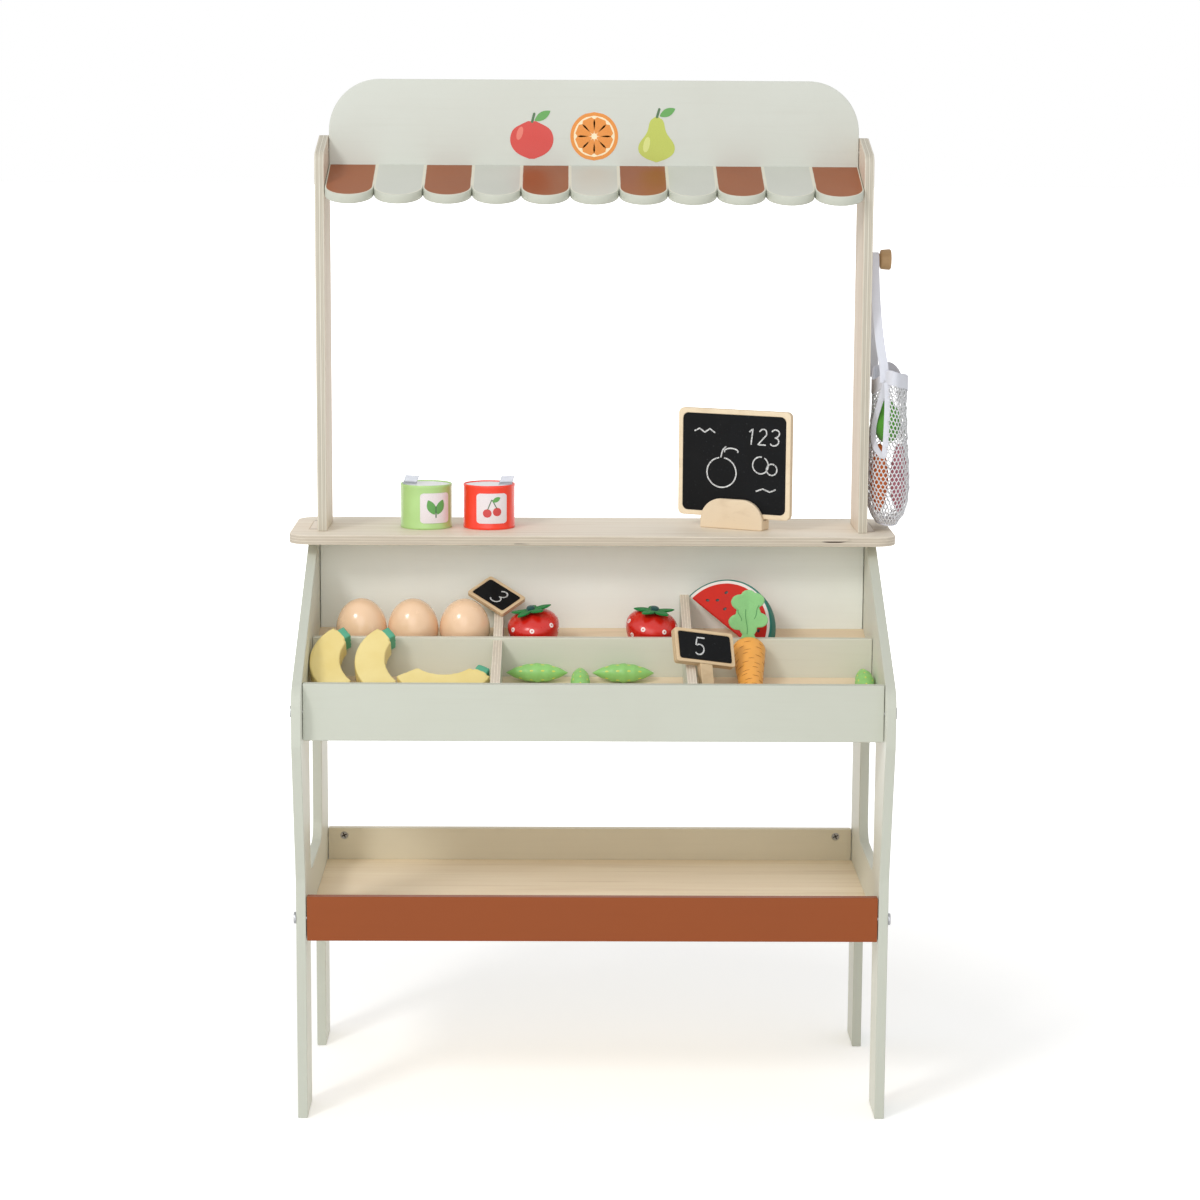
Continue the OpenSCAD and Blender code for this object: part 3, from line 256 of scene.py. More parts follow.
def wooden(look, colour, along):
    """Birch face: long streaks, growth waves, short flecks."""
    streaks = look.grain(along, 3.2, 75.0, 5.0, 0.62, 0.8)
    waves = look.grain(along, 1.6, 18.0, 3.0, 0.5, 1.6)
    flecks = look.grain(along, 60.0, 1100.0, 2.0, 0.5, 0.0)
    made = look.blend(waves, shade(colour, 0.95, 0.02), shade(colour, 1.045, -0.01))
    made = look.cover(made, shade(colour, 0.79, 0.05), streaks, 0.5, 0.74, 0.75)
    made = look.cover(made, shade(colour, 0.7, 0.06), flecks, 0.66, 0.78, 0.5)
    look.bump(streaks, 0.18, 0.00016)
    look.bump(flecks, 0.12, 0.0001)
    return made, look.level(streaks, 0.46, 0.6)


def plies(look, colour, along, axis, low, thick, count):
    """Edge of a plywood board: plies across its thickness, with glue lines and dark voids."""
    layer = look.math("MULTIPLY", look.math("SUBTRACT", look.along(axis), low), count / thick)
    odd, off = look.stripes(layer)
    near_glue = look.math("ABSOLUTE", off)
    fibre = look.grain(along, 25.0, 500.0, 3.0, 0.6, 0.3)
    voids = look.grain(along, 26.0, 300.0, 1.0, 0.4, 0.0)
    made = look.blend(fibre, shade(colour, 0.9, 0.02), shade(colour, 1.05))
    made = look.mix(look.math("MULTIPLY", odd, 0.55), made, shade(colour, 0.7, 0.06))
    made = look.cover(made, shade(colour, 0.4, 0.08), near_glue, 0.38, 0.48, 0.8)
    look.bump(near_glue, 0.25, 0.0001)
    return look.mix(look.math("MULTIPLY", look.remap(voids, 0.755, 0.775), odd), made, PLY_VOID)


def board(name, along, wood=None, paint=None, layers=None, edge=None, bare_from=None, inside=None):
    """A plywood board whose grain runs along one axis, painted or bare. Its edges show layers, given as their
    axis, lowest place, whole thickness and count. Above bare_from the paint ends and the wood shows. Faces
    towards inside take a lighter copy of the paint, as painted light."""
    look = Look(name)
    made, rough = painted(look, paint, along) if paint else wooden(look, wood, along)
    if layers:
        flat = look.math("ABSOLUTE", look.dot(look.normal, layers[0]))
        made = look.cover(plies(look, edge or wood, along, *layers), made, flat, 0.6, 0.75)
    # Painted light: faces towards inside take a lighter copy of the paint
    if inside:
        lighter, _ = painted(look, INSIDE_CREAM_PAINTED_LIGHT, along)
        made = look.cover(made, lighter, look.dot(look.normal, inside), 0.85, 0.95)
    if bare_from:
        bare, _ = wooden(look, wood, 1)
        made = look.cover(made, bare, look.along(Z), bare_from - TENON_FADE, bare_from)
    return look.done(made, rough, Specular_IOR_Level=0.3)


# Awning: one stripe for each scallop on its upper face, thin cream lines between and round them
AWNING_SLOPE = 18.4
AWNING_AT = TO_FRAME @ Vector((-279.4, 252.0, 962.0))
AWNING_PITCH = 0.0508
AWNING_REACH = 0.064 / cos(AWNING_SLOPE)
AWNING_LINE, AWNING_WAVE = 0.0016, 0.0003


def awning_paint():
    look = Look("awning_paint")
    cream, _ = painted(look, CREAM, 0)
    odd, off = look.stripes(look.math("DIVIDE", look.along(X, AWNING_AT), AWNING_PITCH))
    across = look.math("MULTIPLY", off, AWNING_PITCH)
    down = look.along((0, -cos(AWNING_SLOPE), -sin(AWNING_SLOPE)), AWNING_AT)
    past = look.math("MAXIMUM", look.math("SUBTRACT", down, AWNING_REACH), 0.0)
    squares = [look.math("MULTIPLY", side, side) for side in (across, past)]
    out = look.wavy(look.math("SQRT", look.math("ADD", *squares)), 90.0, AWNING_WAVE)
    edge = AWNING_PITCH / 2 - AWNING_LINE
    inside = look.remap(out, edge - AWNING_WAVE, edge + AWNING_WAVE, 1.0, 0.0)
    top = look.remap(look.dot(look.normal, (0, -sin(AWNING_SLOPE), cos(AWNING_SLOPE))), 0.9, 0.97)
    tone = look.noise(9.0, 4.0)
    red = look.blend(tone, rgb(146, 80, 43), rgb(156, 90, 52))
    grey = look.blend(tone, rgb(199, 201, 192), rgb(208, 210, 201))
    made = look.mix(look.math("MULTIPLY", inside, top), CREAM_LINE, look.mix(odd, red, grey))
    made = look.mix(top, cream, made)
    return look.done(made, look.level(tone, 0.36, 0.44), Specular_IOR_Level=0.35)


def toy_paint(name, colour, rough=0.3, coat=0.35, spread=0.05):
    """Sprayed toy lacquer on wood, with a soft tone and a little orange peel."""
    look = Look(name)
    tone = look.noise(38.0, 4.0, 0.6)
    made = look.blend(tone, shade(colour, 1 - spread, 0.01), shade(colour, 1 + spread))
    look.bump(look.noise(260.0, 2.0), 0.12, 0.00012)
    look.bump(look.grain(2, 420.0, 60.0, 3.0, 0.6, 0.4), 0.08, 0.0001)
    rough = look.level(tone, rough - 0.05, rough + 0.06)
    return look.done(made, rough, Coat_Weight=coat, Coat_Roughness=0.15)


def felt(name, colour, spread=0.12, sheen=0.35):
    """Pressed felt: matted fibres, a soft halo and slight pilling."""
    look = Look(name)
    fibres = look.noise(900.0, 4.0, 0.7, 2.5)
    clumps = look.noise(130.0, 3.0, 0.6)
    made = look.blend(fibres, shade(colour, 1 - spread), shade(colour, 1 + spread))
    made = look.cover(made, shade(colour, 0.85), clumps, 0.45, 0.75, 0.4)
    look.bump(fibres, 0.5, 0.0004)
    look.bump(clumps, 0.3, 0.0006)
    return look.done(made, look.level(clumps, 0.88, 0.98), Sheen_Weight=sheen, Sheen_Roughness=0.5)


def metal(name, colour, rough, metallic=1.0):
    """Brushed or rolled metal."""
    look = Look(name)
    brushed = look.grain(0, 90.0, 900.0, 3.0, 0.6, 0.0)
    made = look.blend(brushed, shade(colour, 0.85), shade(colour, 1.1))
    look.bump(brushed, 0.15, 0.0001)
    return look.done(made, look.level(brushed, rough - 0.06, rough + 0.1), Metallic=metallic)


def slate():
    """Chalkboard paint with wiped chalk dust."""
    look = Look("slate_finish")
    smear = look.noise(22.0, 5.0, 0.65, 1.2)
    dust = look.noise(520.0, 3.0, 0.6)
    made = look.cover(rgb(7, 8, 10), rgb(58, 61, 66), smear, 0.48, 0.8, 0.16)
    made = look.cover(made, rgb(150, 152, 156), dust, 0.66, 0.82, 0.25)
    look.bump(dust, 0.2, 0.0001)
    return look.done(made, look.level(smear, 0.62, 0.8), Specular_IOR_Level=0.18)


def chalk():
    """A dry stroke that breaks up over the board's grain."""
    look = Look("chalk")
    broken = look.noise(1500.0, 2.0, 0.6)
    made = look.cover(rgb(60, 62, 66), rgb(240, 241, 240), broken, 0.36, 0.56)
    look.bump(broken, 0.5, 0.0003)
    return look.done(made, look.level(broken, 0.85, 0.95))


def print_paint(name, colour):
    """A printed sticker's ink: flat, with a fine dot and a little gloss."""
    look = Look(name)
    made = look.cover(shade(colour, 0.95), shade(colour, 1.04), look.noise(1400.0, 1.0), 0.35, 0.65)
    return look.done(made, look.level(look.noise(60.0), 0.36, 0.46), Coat_Weight=0.15, Coat_Roughness=0.3)


def cloth(name, colour, scale):
    """A woven tape or yarn: ribs and a little fluff."""
    look = Look(name)
    wave = look.node("ShaderNodeTexWave", wave_type="BANDS", bands_direction="Z")
    ribs = look.fill(wave, Vector=look.p, Scale=scale, Distortion=0.6)["Fac"]
    fluff = look.noise(700.0, 3.0)
    made = look.cover(shade(colour, 0.93), shade(colour, 1.02), ribs, 0.0, 1.0)
    made = look.cover(made, shade(colour, 0.9), fluff, 0.4, 0.7, 0.25)
    look.bump(ribs, 0.5, 0.0003)
    look.bump(fluff, 0.3, 0.0002)
    return look.done(made, look.level(fluff, 0.75, 0.9), Sheen_Weight=0.25)


# Boards and fasteners: CAD nodes that stay, with worn edges by a bevel over their welded meshes
EDGE_ROUND, STEEL_ROUND = 0.0009, 0.0003


def weld(made):
    tuned(made.modifiers.new("weld", "WELD"), merge_threshold=0.00002)


def finish_node(node, material, round_off=EDGE_ROUND):
    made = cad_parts[node]
    made.data.materials.clear()
    made.data.materials.append(material)
    weld(made)
    tuned(made.modifiers.new("flat", "DECIMATE"), decimate_type="DISSOLVE", angle_limit=math.radians(0.5))
    tuned(made.modifiers.new("bevel", "BEVEL"), width=round_off, segments=3, limit_method="ANGLE",
          angle_limit=math.radians(50), use_clamp_overlap=False, harden_normals=True)


def layers_of(node, axis, count=7):
    """Plies over a node's thickness, from its lowest face."""
    return [int(i == axis) for i in range(3)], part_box(node)[0][axis], PLY, count


steel = metal("steel_finish", rgb(176, 177, 180), 0.3)
chalk_look = chalk()
slate_look = slate()
for side, inwards in (("left", 1), ("right", -1)):
    # The panels' inner faces get painted light through inside
    panel = board("cream_panel_" + side, 2, PALE_BIRCH, CREAM, bare_from=TENON_TOP, inside=(inwards, 0, 0))
    finish_node("side_panel_" + side, panel)
    post = "post_" + side
    finish_node(post, board("post_wood_" + side, 2, POST_BIRCH, layers=layers_of(post, 0, 5), edge=POST_EDGE))
    for divider in ("front_divider_" + side, "rear_divider_" + side):
        finish_node(divider, board(divider + "_finish", 1, paint=CREAM, layers=layers_of(divider, 0),
                                   edge=PALE_BIRCH))
counter_look = board("counter_wood", 0, PALE_BIRCH, layers=layers_of("counter_top", 2), edge=EDGE_BIRCH)
finish_node("counter_top", counter_look)
finish_node("awning_board", awning_paint())
# Header, tier, back board and shelf back take lighter copies of the cream, as painted light
PAINTED_BOARDS = {
    "header_board": ("cream_header", HEADER_CREAM_PAINTED_LIGHT), "tray_front_board": ("cream_tray_front", CREAM),
    "tier_board": ("cream_tier", TIER_CREAM_PAINTED_LIGHT), "display_back_board": ("cream_back", BACK_CREAM_PAINTED_LIGHT),
    "shelf_front_lip": ("terracotta_lip", TERRACOTTA), "shelf_back_board": ("cream_shelf_back", SHELF_CREAM_PAINTED_LIGHT),
}
# The lower shelf's wood is lighter than the trays' as painted light
BARE_BOARDS = {
    "front_tray_floor": ("tray_floor_wood", TRAY_WOOD), "rear_tier_floor": ("tier_floor_wood", TRAY_WOOD),
    "lower_shelf": ("shelf_wood", SHELF_WOOD_PAINTED_LIGHT),
}
for node, (name, paint) in PAINTED_BOARDS.items():
    finish_node(node, board(name, 0, paint=paint))
for node, (name, wood) in BARE_BOARDS.items():
    finish_node(node, board(name, 0, wood))
for node in ("connector_bolts", "barrel_nuts", "post_bolts", "post_nuts"):
    finish_node(node, steel, STEEL_ROUND)


# Meshes, as (points, faces) in millimetres
def around(n):
    """Angles of n points round a circle."""
    return [math.tau * j / n for j in range(n)]


def stitched(rings, size, closed=False, caps=True):
    """Faces over rings of points, ring by ring, and over the ends of an open row of rings."""
    faces = []
    for i in range(rings if closed else rings - 1):
        a, b = i * size, (i + 1) % rings * size
        faces += [(a + j, a + (j + 1) % size, b + (j + 1) % size, b + j) for j in range(size)]
    if caps and not closed:
        faces.append(tuple(reversed(range(size))))
        faces.append(tuple((rings - 1) * size + j for j in range(size)))
    return faces


def heading(path, i, closed=False):
    """The way a path of vectors runs at one of its points."""
    if closed:
        return path[(i + 1) % len(path)] - path[i - 1]
    return path[min(i + 1, len(path) - 1)] - path[max(i - 1, 0)]


def lathe(profile, n=64):
    """A profile of (radius, height) turned about z; points on the axis are single."""
    points, faces, rings = [], [], []
    for r, z in profile:
        angles = around(n)[:1 if r < 1e-6 else n]
        rings.append(list(range(len(points), len(points) + len(angles))))
        points += [(r * math.cos(a), r * math.sin(a), z) for a in angles]
    for a, b in zip(rings, rings[1:]):
        for j in range(n):
            k = (j + 1) % n
            if len(a) == 1:
                faces.append((a[0], b[k], b[j]))
            elif len(b) == 1:
                faces.append((a[j], a[k], b[0]))
            else:
                faces.append((a[j], a[k], b[k], b[j]))
    return points, faces


def inset(outline, by):
    """An outline of (x, y) points moved inwards along its corners' bisectors."""
    n = len(outline)
    moved = []
    for i in range(n):
        a, b, c = (Vector(outline[(i + k) % n]) for k in (-1, 0, 1))
        u, v = (b - a).normalized(), (c - b).normalized()
        normal = Vector((-(u.y + v.y), u.x + v.x))
        normal = normal.normalized() if normal.length > 1e-6 else Vector((-u.y, u.x))
        reach = by / max(0.5, normal.dot(Vector((-v.y, v.x))))
        moved.append(tuple(b + normal * reach))
    return moved


def slab(outline, thick, edge, steps=3):
    """An extruded outline, counter-clockwise, whose edges are rounded off."""
    levels = [(edge * 1.6, 0.0)]
    levels += [(edge * (1 - sin(90 * i / steps)), edge * (1 - cos(90 * i / steps))) for i in range(steps + 1)]
    levels += [(by, thick - z) for by, z in reversed(levels)]
    points = [(x, y, z) for by, z in levels for x, y in inset(outline, by)]
    return points, stitched(len(levels), len(outline))


def rounded_box(w, h, r, steps=6):
    """Outline of a box with round corners, counter-clockwise about its middle."""
    outline = []
    for cx, cy, start in ((1, -1, -90), (1, 1, 0), (-1, 1, 90), (-1, -1, 180)):
        for i in range(steps + 1):
            a = start + 90 * i / steps
            outline.append((cx * (w / 2 - r) + r * cos(a), cy * (h / 2 - r) + r * sin(a)))
    return outline


def star(reach, thick, lift, n=180, rings=14, soft=0.12):
    """A felt cut-out about a middle: reach(angle) is its outline, lift(r, angle) its curl."""
    def ring(f, side):
        past = max(0.0, (f - 1 + soft) / soft)
        swell = side * (thick / 2 * root(1 - past * past))
        for a in around(n):
            r = reach(a) * f
            yield r * math.cos(a), r * math.sin(a), lift(r, a) + swell

    levels = sorted([f / rings for f in range(1, rings)] + [1 - soft * 0.5, 1 - soft * 0.15])
    points, faces = [], []
    for side in (1, -1):
        points.append((0, 0, lift(0, 0) + side * thick / 2))
        for f in levels:
            points += ring(f, side)
    rim = len(points)
    points += ring(1.0, 1)
    for side, start in ((1, 0), (-1, rim // 2)):
        starts = [start + 1 + i * n for i in range(len(levels))] + [rim]
        for j in range(n):
            k = (j + 1) % n
            made = [(start, starts[0] + j, starts[0] + k)]
            made += [(a + j, b + j, b + k, a + k) for a, b in zip(starts, starts[1:])]
            faces += made if side == 1 else [tuple(reversed(f)) for f in made]
    return points, faces


def wrapped(half_width, low, high, to_space, thick, rows=14, columns=14):
    """A thin patch whose rows are as wide as half_width(y) says, laid by to_space(x, y, lift)."""
    points, faces = [], []
    for lift in (thick, 0.0):
        for i in range(rows + 1):
            y = low + (high - low) * i / rows
            w = max(half_width(y), 0.02)
            points += [to_space(w * (2 * j / columns - 1), y, lift) for j in range(columns + 1)]

    def at(i, j, layer):
        return (layer * (rows + 1) + i) * (columns + 1) + j

    for i in range(rows):
        for j in range(columns):
            faces.append((at(i, j, 0), at(i, j + 1, 0), at(i + 1, j + 1, 0), at(i + 1, j, 0)))
            faces.append((at(i, j, 1), at(i + 1, j, 1), at(i + 1, j + 1, 1), at(i, j + 1, 1)))
    border = [(0, j) for j in range(columns)] + [(i, columns) for i in range(rows)]
    border += [(rows, j) for j in range(columns, 0, -1)] + [(i, 0) for i in range(rows, 0, -1)]
    for a, b in zip(border, border[1:] + border[:1]):
        faces.append((at(*a, 1), at(*b, 1), at(*b, 0), at(*a, 0)))
    return points, faces


def tube(path, r, sides=6, closed=False):
    """A tube along a path, with rings turned as little as possible."""
    path = [Vector(p) for p in path]
    points = []
    side = heading(path, 0, closed).normalized().orthogonal().normalized()
    for i, p in enumerate(path):
        ahead = heading(path, i, closed).normalized()
        side = (side - ahead * side.dot(ahead)).normalized()
        other = ahead.cross(side)
        points += [tuple(p + (side * math.cos(a) + other * math.sin(a)) * r) for a in around(sides)]
    return points, stitched(len(path), sides, closed)


BAND = ((-1, -0.4), (-0.96, -1), (0.96, -1), (1, -0.4), (1, 0.4), (0.96, 1), (-0.96, 1), (-1, 0.4))


def ribbon(path, across, width, thick, closed=False):
    """A flat band along a path; across[i] points over its width there."""
    path = [Vector(p) for p in path]
    points = []
    for i, p in enumerate(path):
        over = Vector(across[i]).normalized()
        out = heading(path, i, closed).cross(over).normalized()
        points += [tuple(p + over * (u * width / 2) + out * (v * thick / 2)) for u, v in BAND]
    return points, stitched(len(path), len(BAND), closed)


def joined(meshes):
    points, faces = [], []
    for more_points, more_faces in meshes:
        start = len(points)
        points += list(more_points)
        faces += [tuple(i + start for i in face) for face in more_faces]
    return points, faces


def placed(mesh, matrix):
    points, faces = mesh
    co = np.array(points, float) @ np.array(matrix.to_3x3()).T + np.array(matrix.translation)
    return [tuple(p) for p in co], faces


# Pieces: new objects, each with a material, a body that it rides on and the nodes it replaces
def settle(name, data, material, body, slot, nodes, sharp):
    data.shade_smooth()
    data.set_sharp_from_angle(angle=math.radians(sharp))
    data.materials.clear()
    data.materials.append(material)
    made = add(name, data)
    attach(made, body)
    if nodes:
        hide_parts(*nodes)
    return made


def piece(name, mesh, material, body, slot, nodes=(), where=move(0, 0, 0), sharp=40.0):
    """A piece from a mesh in stall millimetres."""
    points, faces = placed(mesh, TO_FRAME @ where)
    data = bpy.data.meshes.new(name)
    data.from_pydata(points, [], faces)
    shape = bmesh.new()
    shape.from_mesh(data)
    bmesh.ops.recalc_face_normals(shape, faces=shape.faces)
    shape.to_mesh(data)
    shape.free()
    return settle(name, data, material, body, slot, nodes, sharp)


def toy(body, where=move(0, 0, 0)):
    """Makes the pieces that ride on one body, at its place."""
    def make(name, mesh, material, slot, nodes=(), up=0.0, sharp=40.0):
        return piece(body + name, mesh, material, body, slot, nodes, where @ move(0, 0, up), sharp)

    return make


def softened(name, node, material, body, slot, voxel, rounds):
    """A piece from a CAD node's mesh, remeshed finely and rounded off."""
    rough = add(name + "_rough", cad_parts[node].data.copy())
    weld(rough)
    tuned(rough.modifiers.new("remesh", "REMESH"), mode="VOXEL", voxel_size=voxel)
    tuned(rough.modifiers.new("smooth", "SMOOTH"), factor=0.5, iterations=rounds)
    bpy.context.view_layer.update()
    data = bpy.data.meshes.new_from_object(rough.evaluated_get(bpy.context.evaluated_depsgraph_get()))
    bpy.data.objects.remove(rough)
    data.name = name
    return settle(name, data, material, body, slot, [node], 60.0)


# Heights of the sloping floors, as in the CAD source
SLOPE = 15.0
TIER_Y, TIER_LOW, TIER_TOP, TIER_IN_Y = 109.6, 440.013, 480.413, 119.6
BACK_Y, BACK_LOW = 213.7, 473.627
TRAY_IN_Y = -9.5
SIDE_X = 290
HALF_PLY = 5
BAY_W = 560.0 / 3
DIVIDER_X = BAY_W / 2 + HALF_PLY
COUNTER_H = 580.0
SEAT = 0.3


def front_floor(y):
    return TIER_LOW - (TIER_Y - y) * sin(SLOPE) / cos(SLOPE)


def rear_floor(y):
    return BACK_LOW - (BACK_Y - y) * sin(SLOPE) / cos(SLOPE)


def on_rear(x, y):
    return move(x, y, rear_floor(y)) @ turn(SLOPE, "X") @ move(0, 0, SEAT)


def turned(d, h, wide, base, steps=40):
    """Profile of two half ellipses on a flat base, as the CAD's turned solids."""
    low = h * wide
    high = h - low
    foot = low * sin(base)
    rise = [-base + base * i / steps for i in range(steps + 1)]
    profile = [(0.0, 0.0)] + [(d / 2 * cos(a), foot + low * sin(a)) for a in rise]
    profile += [(d / 2 * cos(90 * i / steps), foot + high * sin(90 * i / steps)) for i in range(1, steps)]
    return profile + [(0.0, foot + high)]


# Cross slots in the barrel nuts above the shelf, and gaps at the ends of the tenons in the counter: both are
# dark plates on the surface, painted shade standing in for these recesses
NUT_X, NUT_Y, NUT_Z, NUT_TURN = 272.0, 291.2, 226.6, 24
SLOT_L, SLOT_W = 6.2, 1.3
TENON_X, TENON_ENDS, TENON_T, GAP_W = 295.0, (205.0, 271.0), 9.6, 1.3
slot_shade_look = metal("nut_slot", rgb(58, 57, 56), 0.5, 0.6)
cross = [slab(rounded_box(w, h, r=0.5), thick=0.2, edge=0.05, steps=2)
         for w, h in ((SLOT_L, SLOT_W), (SLOT_W, SLOT_L))]
for name, x in (("left", -NUT_X), ("right", NUT_X)):
    piece("nut_slots_" + name, joined(cross), slot_shade_look, "stall", "steel",
          where=move(x, NUT_Y - 0.02, NUT_Z) @ turn(90, "X") @ turn(NUT_TURN, "Z"))
# Painted shade: a dark plate over each tenon gap
gap_shade_look = board("gap_shade", 0, rgb(58, 41, 29))
gap = slab(rounded_box(TENON_T, GAP_W, r=0.4), thick=0.12, edge=0.03, steps=2)
for name, x in (("left", -TENON_X), ("right", TENON_X)):
    gaps = [placed(gap, move(x, y, COUNTER_H - 0.04)) for y in TENON_ENDS]
    piece("tenon_gaps_" + name, joined(gaps), gap_shade_look, "stall", "plywood")

# Eggs
EGG_D, EGG_H, EGG_WIDE, EGG_BASE = 53, 57, 0.42, 78
EGG_STEP, EGG_GAP = 54, 4
EGG_Y = TIER_IN_Y + EGG_D * 0.75
egg_paint = toy_paint("egg_lacquer", rgb(246, 209, 172), 0.24, 0.5, spread=0.02)
egg_mesh = lathe(turned(EGG_D, EGG_H, EGG_WIDE, EGG_BASE), 72)
for i, egg in enumerate(("egg_right", "egg_middle", "egg_left")):
    egg_x = -DIVIDER_X - HALF_PLY - EGG_GAP - EGG_D / 2 - EGG_STEP * i
    toy(egg, on_rear(egg_x, EGG_Y))("_turned", egg_mesh, egg_paint, "peach_paint", [egg])

# Strawberries: turned bodies with painted seeds, felt leaves and a knob
BERRY_D, BERRY_H, BERRY_WIDE, BERRY_BASE, BERRY_TILT = 54, 46, 0.66, 72, 8
BERRY_LOW = BERRY_H * BERRY_WIDE
BERRY_FOOT = BERRY_LOW * sin(BERRY_BASE)
BERRY_TOP = BERRY_FOOT + BERRY_H - BERRY_LOW
BERRY_X = BAY_W / 2 - BERRY_D / 2 - 4 - BERRY_LOW * sin(BERRY_TILT)
BERRY_Y = TIER_IN_Y + BERRY_D * 0.68
LEAF_T, LEAF_IN, LEAF_OUT, LEAF_SWELL = 2.2, 8.5, 14.0, 1.6
SEED_ROWS = ((12.0, 5, 20), (23.0, 7, 0), (33.5, 7, 26))
SEED_R, SEED_MIDDLE_R = 2.5, 0.95
KNOB = ((0, 0), (4.2, 0), (4.5, 1), (4.4, 2.6), (3.6, 3.6), (2, 4.1), (0, 4.2))
berry_paint = toy_paint("strawberry_lacquer", rgb(212, 30, 18), 0.28, 0.35)
seed_white = toy_paint("seed_white", rgb(246, 232, 228), 0.4, 0.2)
seed_red = toy_paint("seed_red", rgb(200, 70, 72), 0.4, 0.2)
leaf_felt = felt("dark_green_felt_look", rgb(12, 124, 52), sheen=0.1)
knob_felt = felt("knob_look", rgb(20, 74, 70))
berry_mesh = lathe(turned(BERRY_D, BERRY_H, BERRY_WIDE, BERRY_BASE), 72)


def berry_point(a, z):
    """A point on the berry and its outward normal, at an angle and a height."""
    half = BERRY_LOW if z < BERRY_FOOT else BERRY_H - BERRY_LOW
    s = (z - BERRY_FOOT) / half
    r = BERRY_D / 2 * root(1 - s * s)
    slant = (BERRY_D / 2) ** 2
    normal = Vector((cos(a) * r / slant, sin(a) * r / slant, s / half)).normalized()
    return Vector((r * cos(a), r * sin(a), z)), normal


def dot_on(p, normal, r, lift, squeeze=1.0, spin=0.0):
    """A small domed disc on a surface point."""
    facing = normal.to_track_quat("Z", "Y").to_matrix().to_4x4()
    disc = lathe([(0.0, -0.6), (r, -0.6), (r, lift * 0.4), (r * 0.85, lift * 0.8), (0.0, lift)], 20)
    return placed(disc, Matrix.Translation(p) @ facing @ turn(spin, "Z") @ stretch(1, squeeze))


def petals(a):
    """Outline of the five leaves."""
    k = (a / math.tau * 5 - 0.25) % 1.0
    from_tip = 2 * min(k, 1 - k)
    return LEAF_IN + LEAF_OUT * (1 - from_tip) ** 1.15 + LEAF_SWELL * math.sin(math.pi * from_tip)


def curled(side):
    return lambda r, a: (1.3 - 0.2 * r * math.sin(a) + 0.09 * r * math.cos(a)
                         + 0.5 * math.sin(a * 3 + side) * r / 20)


for side, berry in ((-1, "strawberry_left"), (1, "strawberry_right")):
    where = on_rear(side * BERRY_X, BERRY_Y) @ move(0, 0, BERRY_D / 2 * cos(BERRY_BASE) * sin(BERRY_TILT))
    make = toy(berry, where @ turn(side * BERRY_TILT, "Y"))
    make("_turned", berry_mesh, berry_paint, "red_paint", [berry])
    spots = [berry_point(start + side * 14 + 360 * j / count, z) for z, count, start in SEED_ROWS
             for j in range(count)]
    make("_seeds", joined(dot_on(p, m, SEED_R, lift=0.3) for p, m in spots), seed_white, "white_paint")
    middles = joined(dot_on(p, m, SEED_MIDDLE_R, lift=0.5) for p, m in spots)
    make("_seed_middles", middles, seed_red, "red_paint")
    leaves = make("_felt", star(petals, LEAF_T, curled(side)), leaf_felt, "dark_green_felt",
                  [berry + "_leaves"], BERRY_TOP + 0.1)
    make("_knob", lathe(KNOB, 32), knob_felt, "dark_green_felt", up=BERRY_TOP + 2.1)

# Watermelon slice: painted rings by the distance from the slice's own middle, seeds on both faces
MELON_R, MELON_T, MELON_CUT, MELON_EDGE = 55.0, 16.0, 5.5, 1.3
MELON_WHITE_R, MELON_RIND_R, MELON_FADE = 0.0502, 0.0532, 0.0002
MELON_AT = Vector((DIVIDER_X + HALF_PLY + MELON_R * 0.64, (TIER_IN_Y + BACK_Y - 10) / 2, 0.0))
MELON_AT.z = rear_floor(MELON_AT.y) + MELON_R * 0.353
MELON_SEEDS = ((-0.62, 0.26, 24), (-0.46, 0.38, 40), (-0.42, 0.6, 70), (-0.22, 0.34, 65), (-0.2, 0.62, 55),
               (0.5, 0.3, 140), (0.62, 0.42, 120))
melon_turn = Euler([math.radians(a) for a in (60.6, 28.6, -40.0)]).to_matrix().to_4x4()
melon_where = Matrix.Translation(MELON_AT) @ melon_turn


def melon_paint():
    look = Look("melon_lacquer")
    off = look.vector("SUBTRACT", look.p, tuple(TO_FRAME @ MELON_AT))
    deep = look.dot(off, tuple(melon_turn.to_3x3() @ Vector(Z)))
    out = look.math("SQRT", look.math("SUBTRACT", look.dot(off, off), look.math("MULTIPLY", deep, deep)))
    out = look.wavy(out, 60.0, 0.0004)
    tone = look.noise(45.0, 4.0)
    made = look.blend(tone, rgb(203, 30, 14), rgb(214, 38, 20))
    green = look.blend(tone, rgb(36, 112, 100), rgb(48, 128, 114))
    for ring, colour in ((MELON_WHITE_R, rgb(240, 232, 226)), (MELON_RIND_R, green)):
        made = look.cover(made, colour, out, ring - MELON_FADE, ring + MELON_FADE)
    look.bump(look.noise(300.0), 0.12, 0.0001)
    return look.done(made, look.level(tone, 0.5, 0.6), Specular_IOR_Level=0.25)


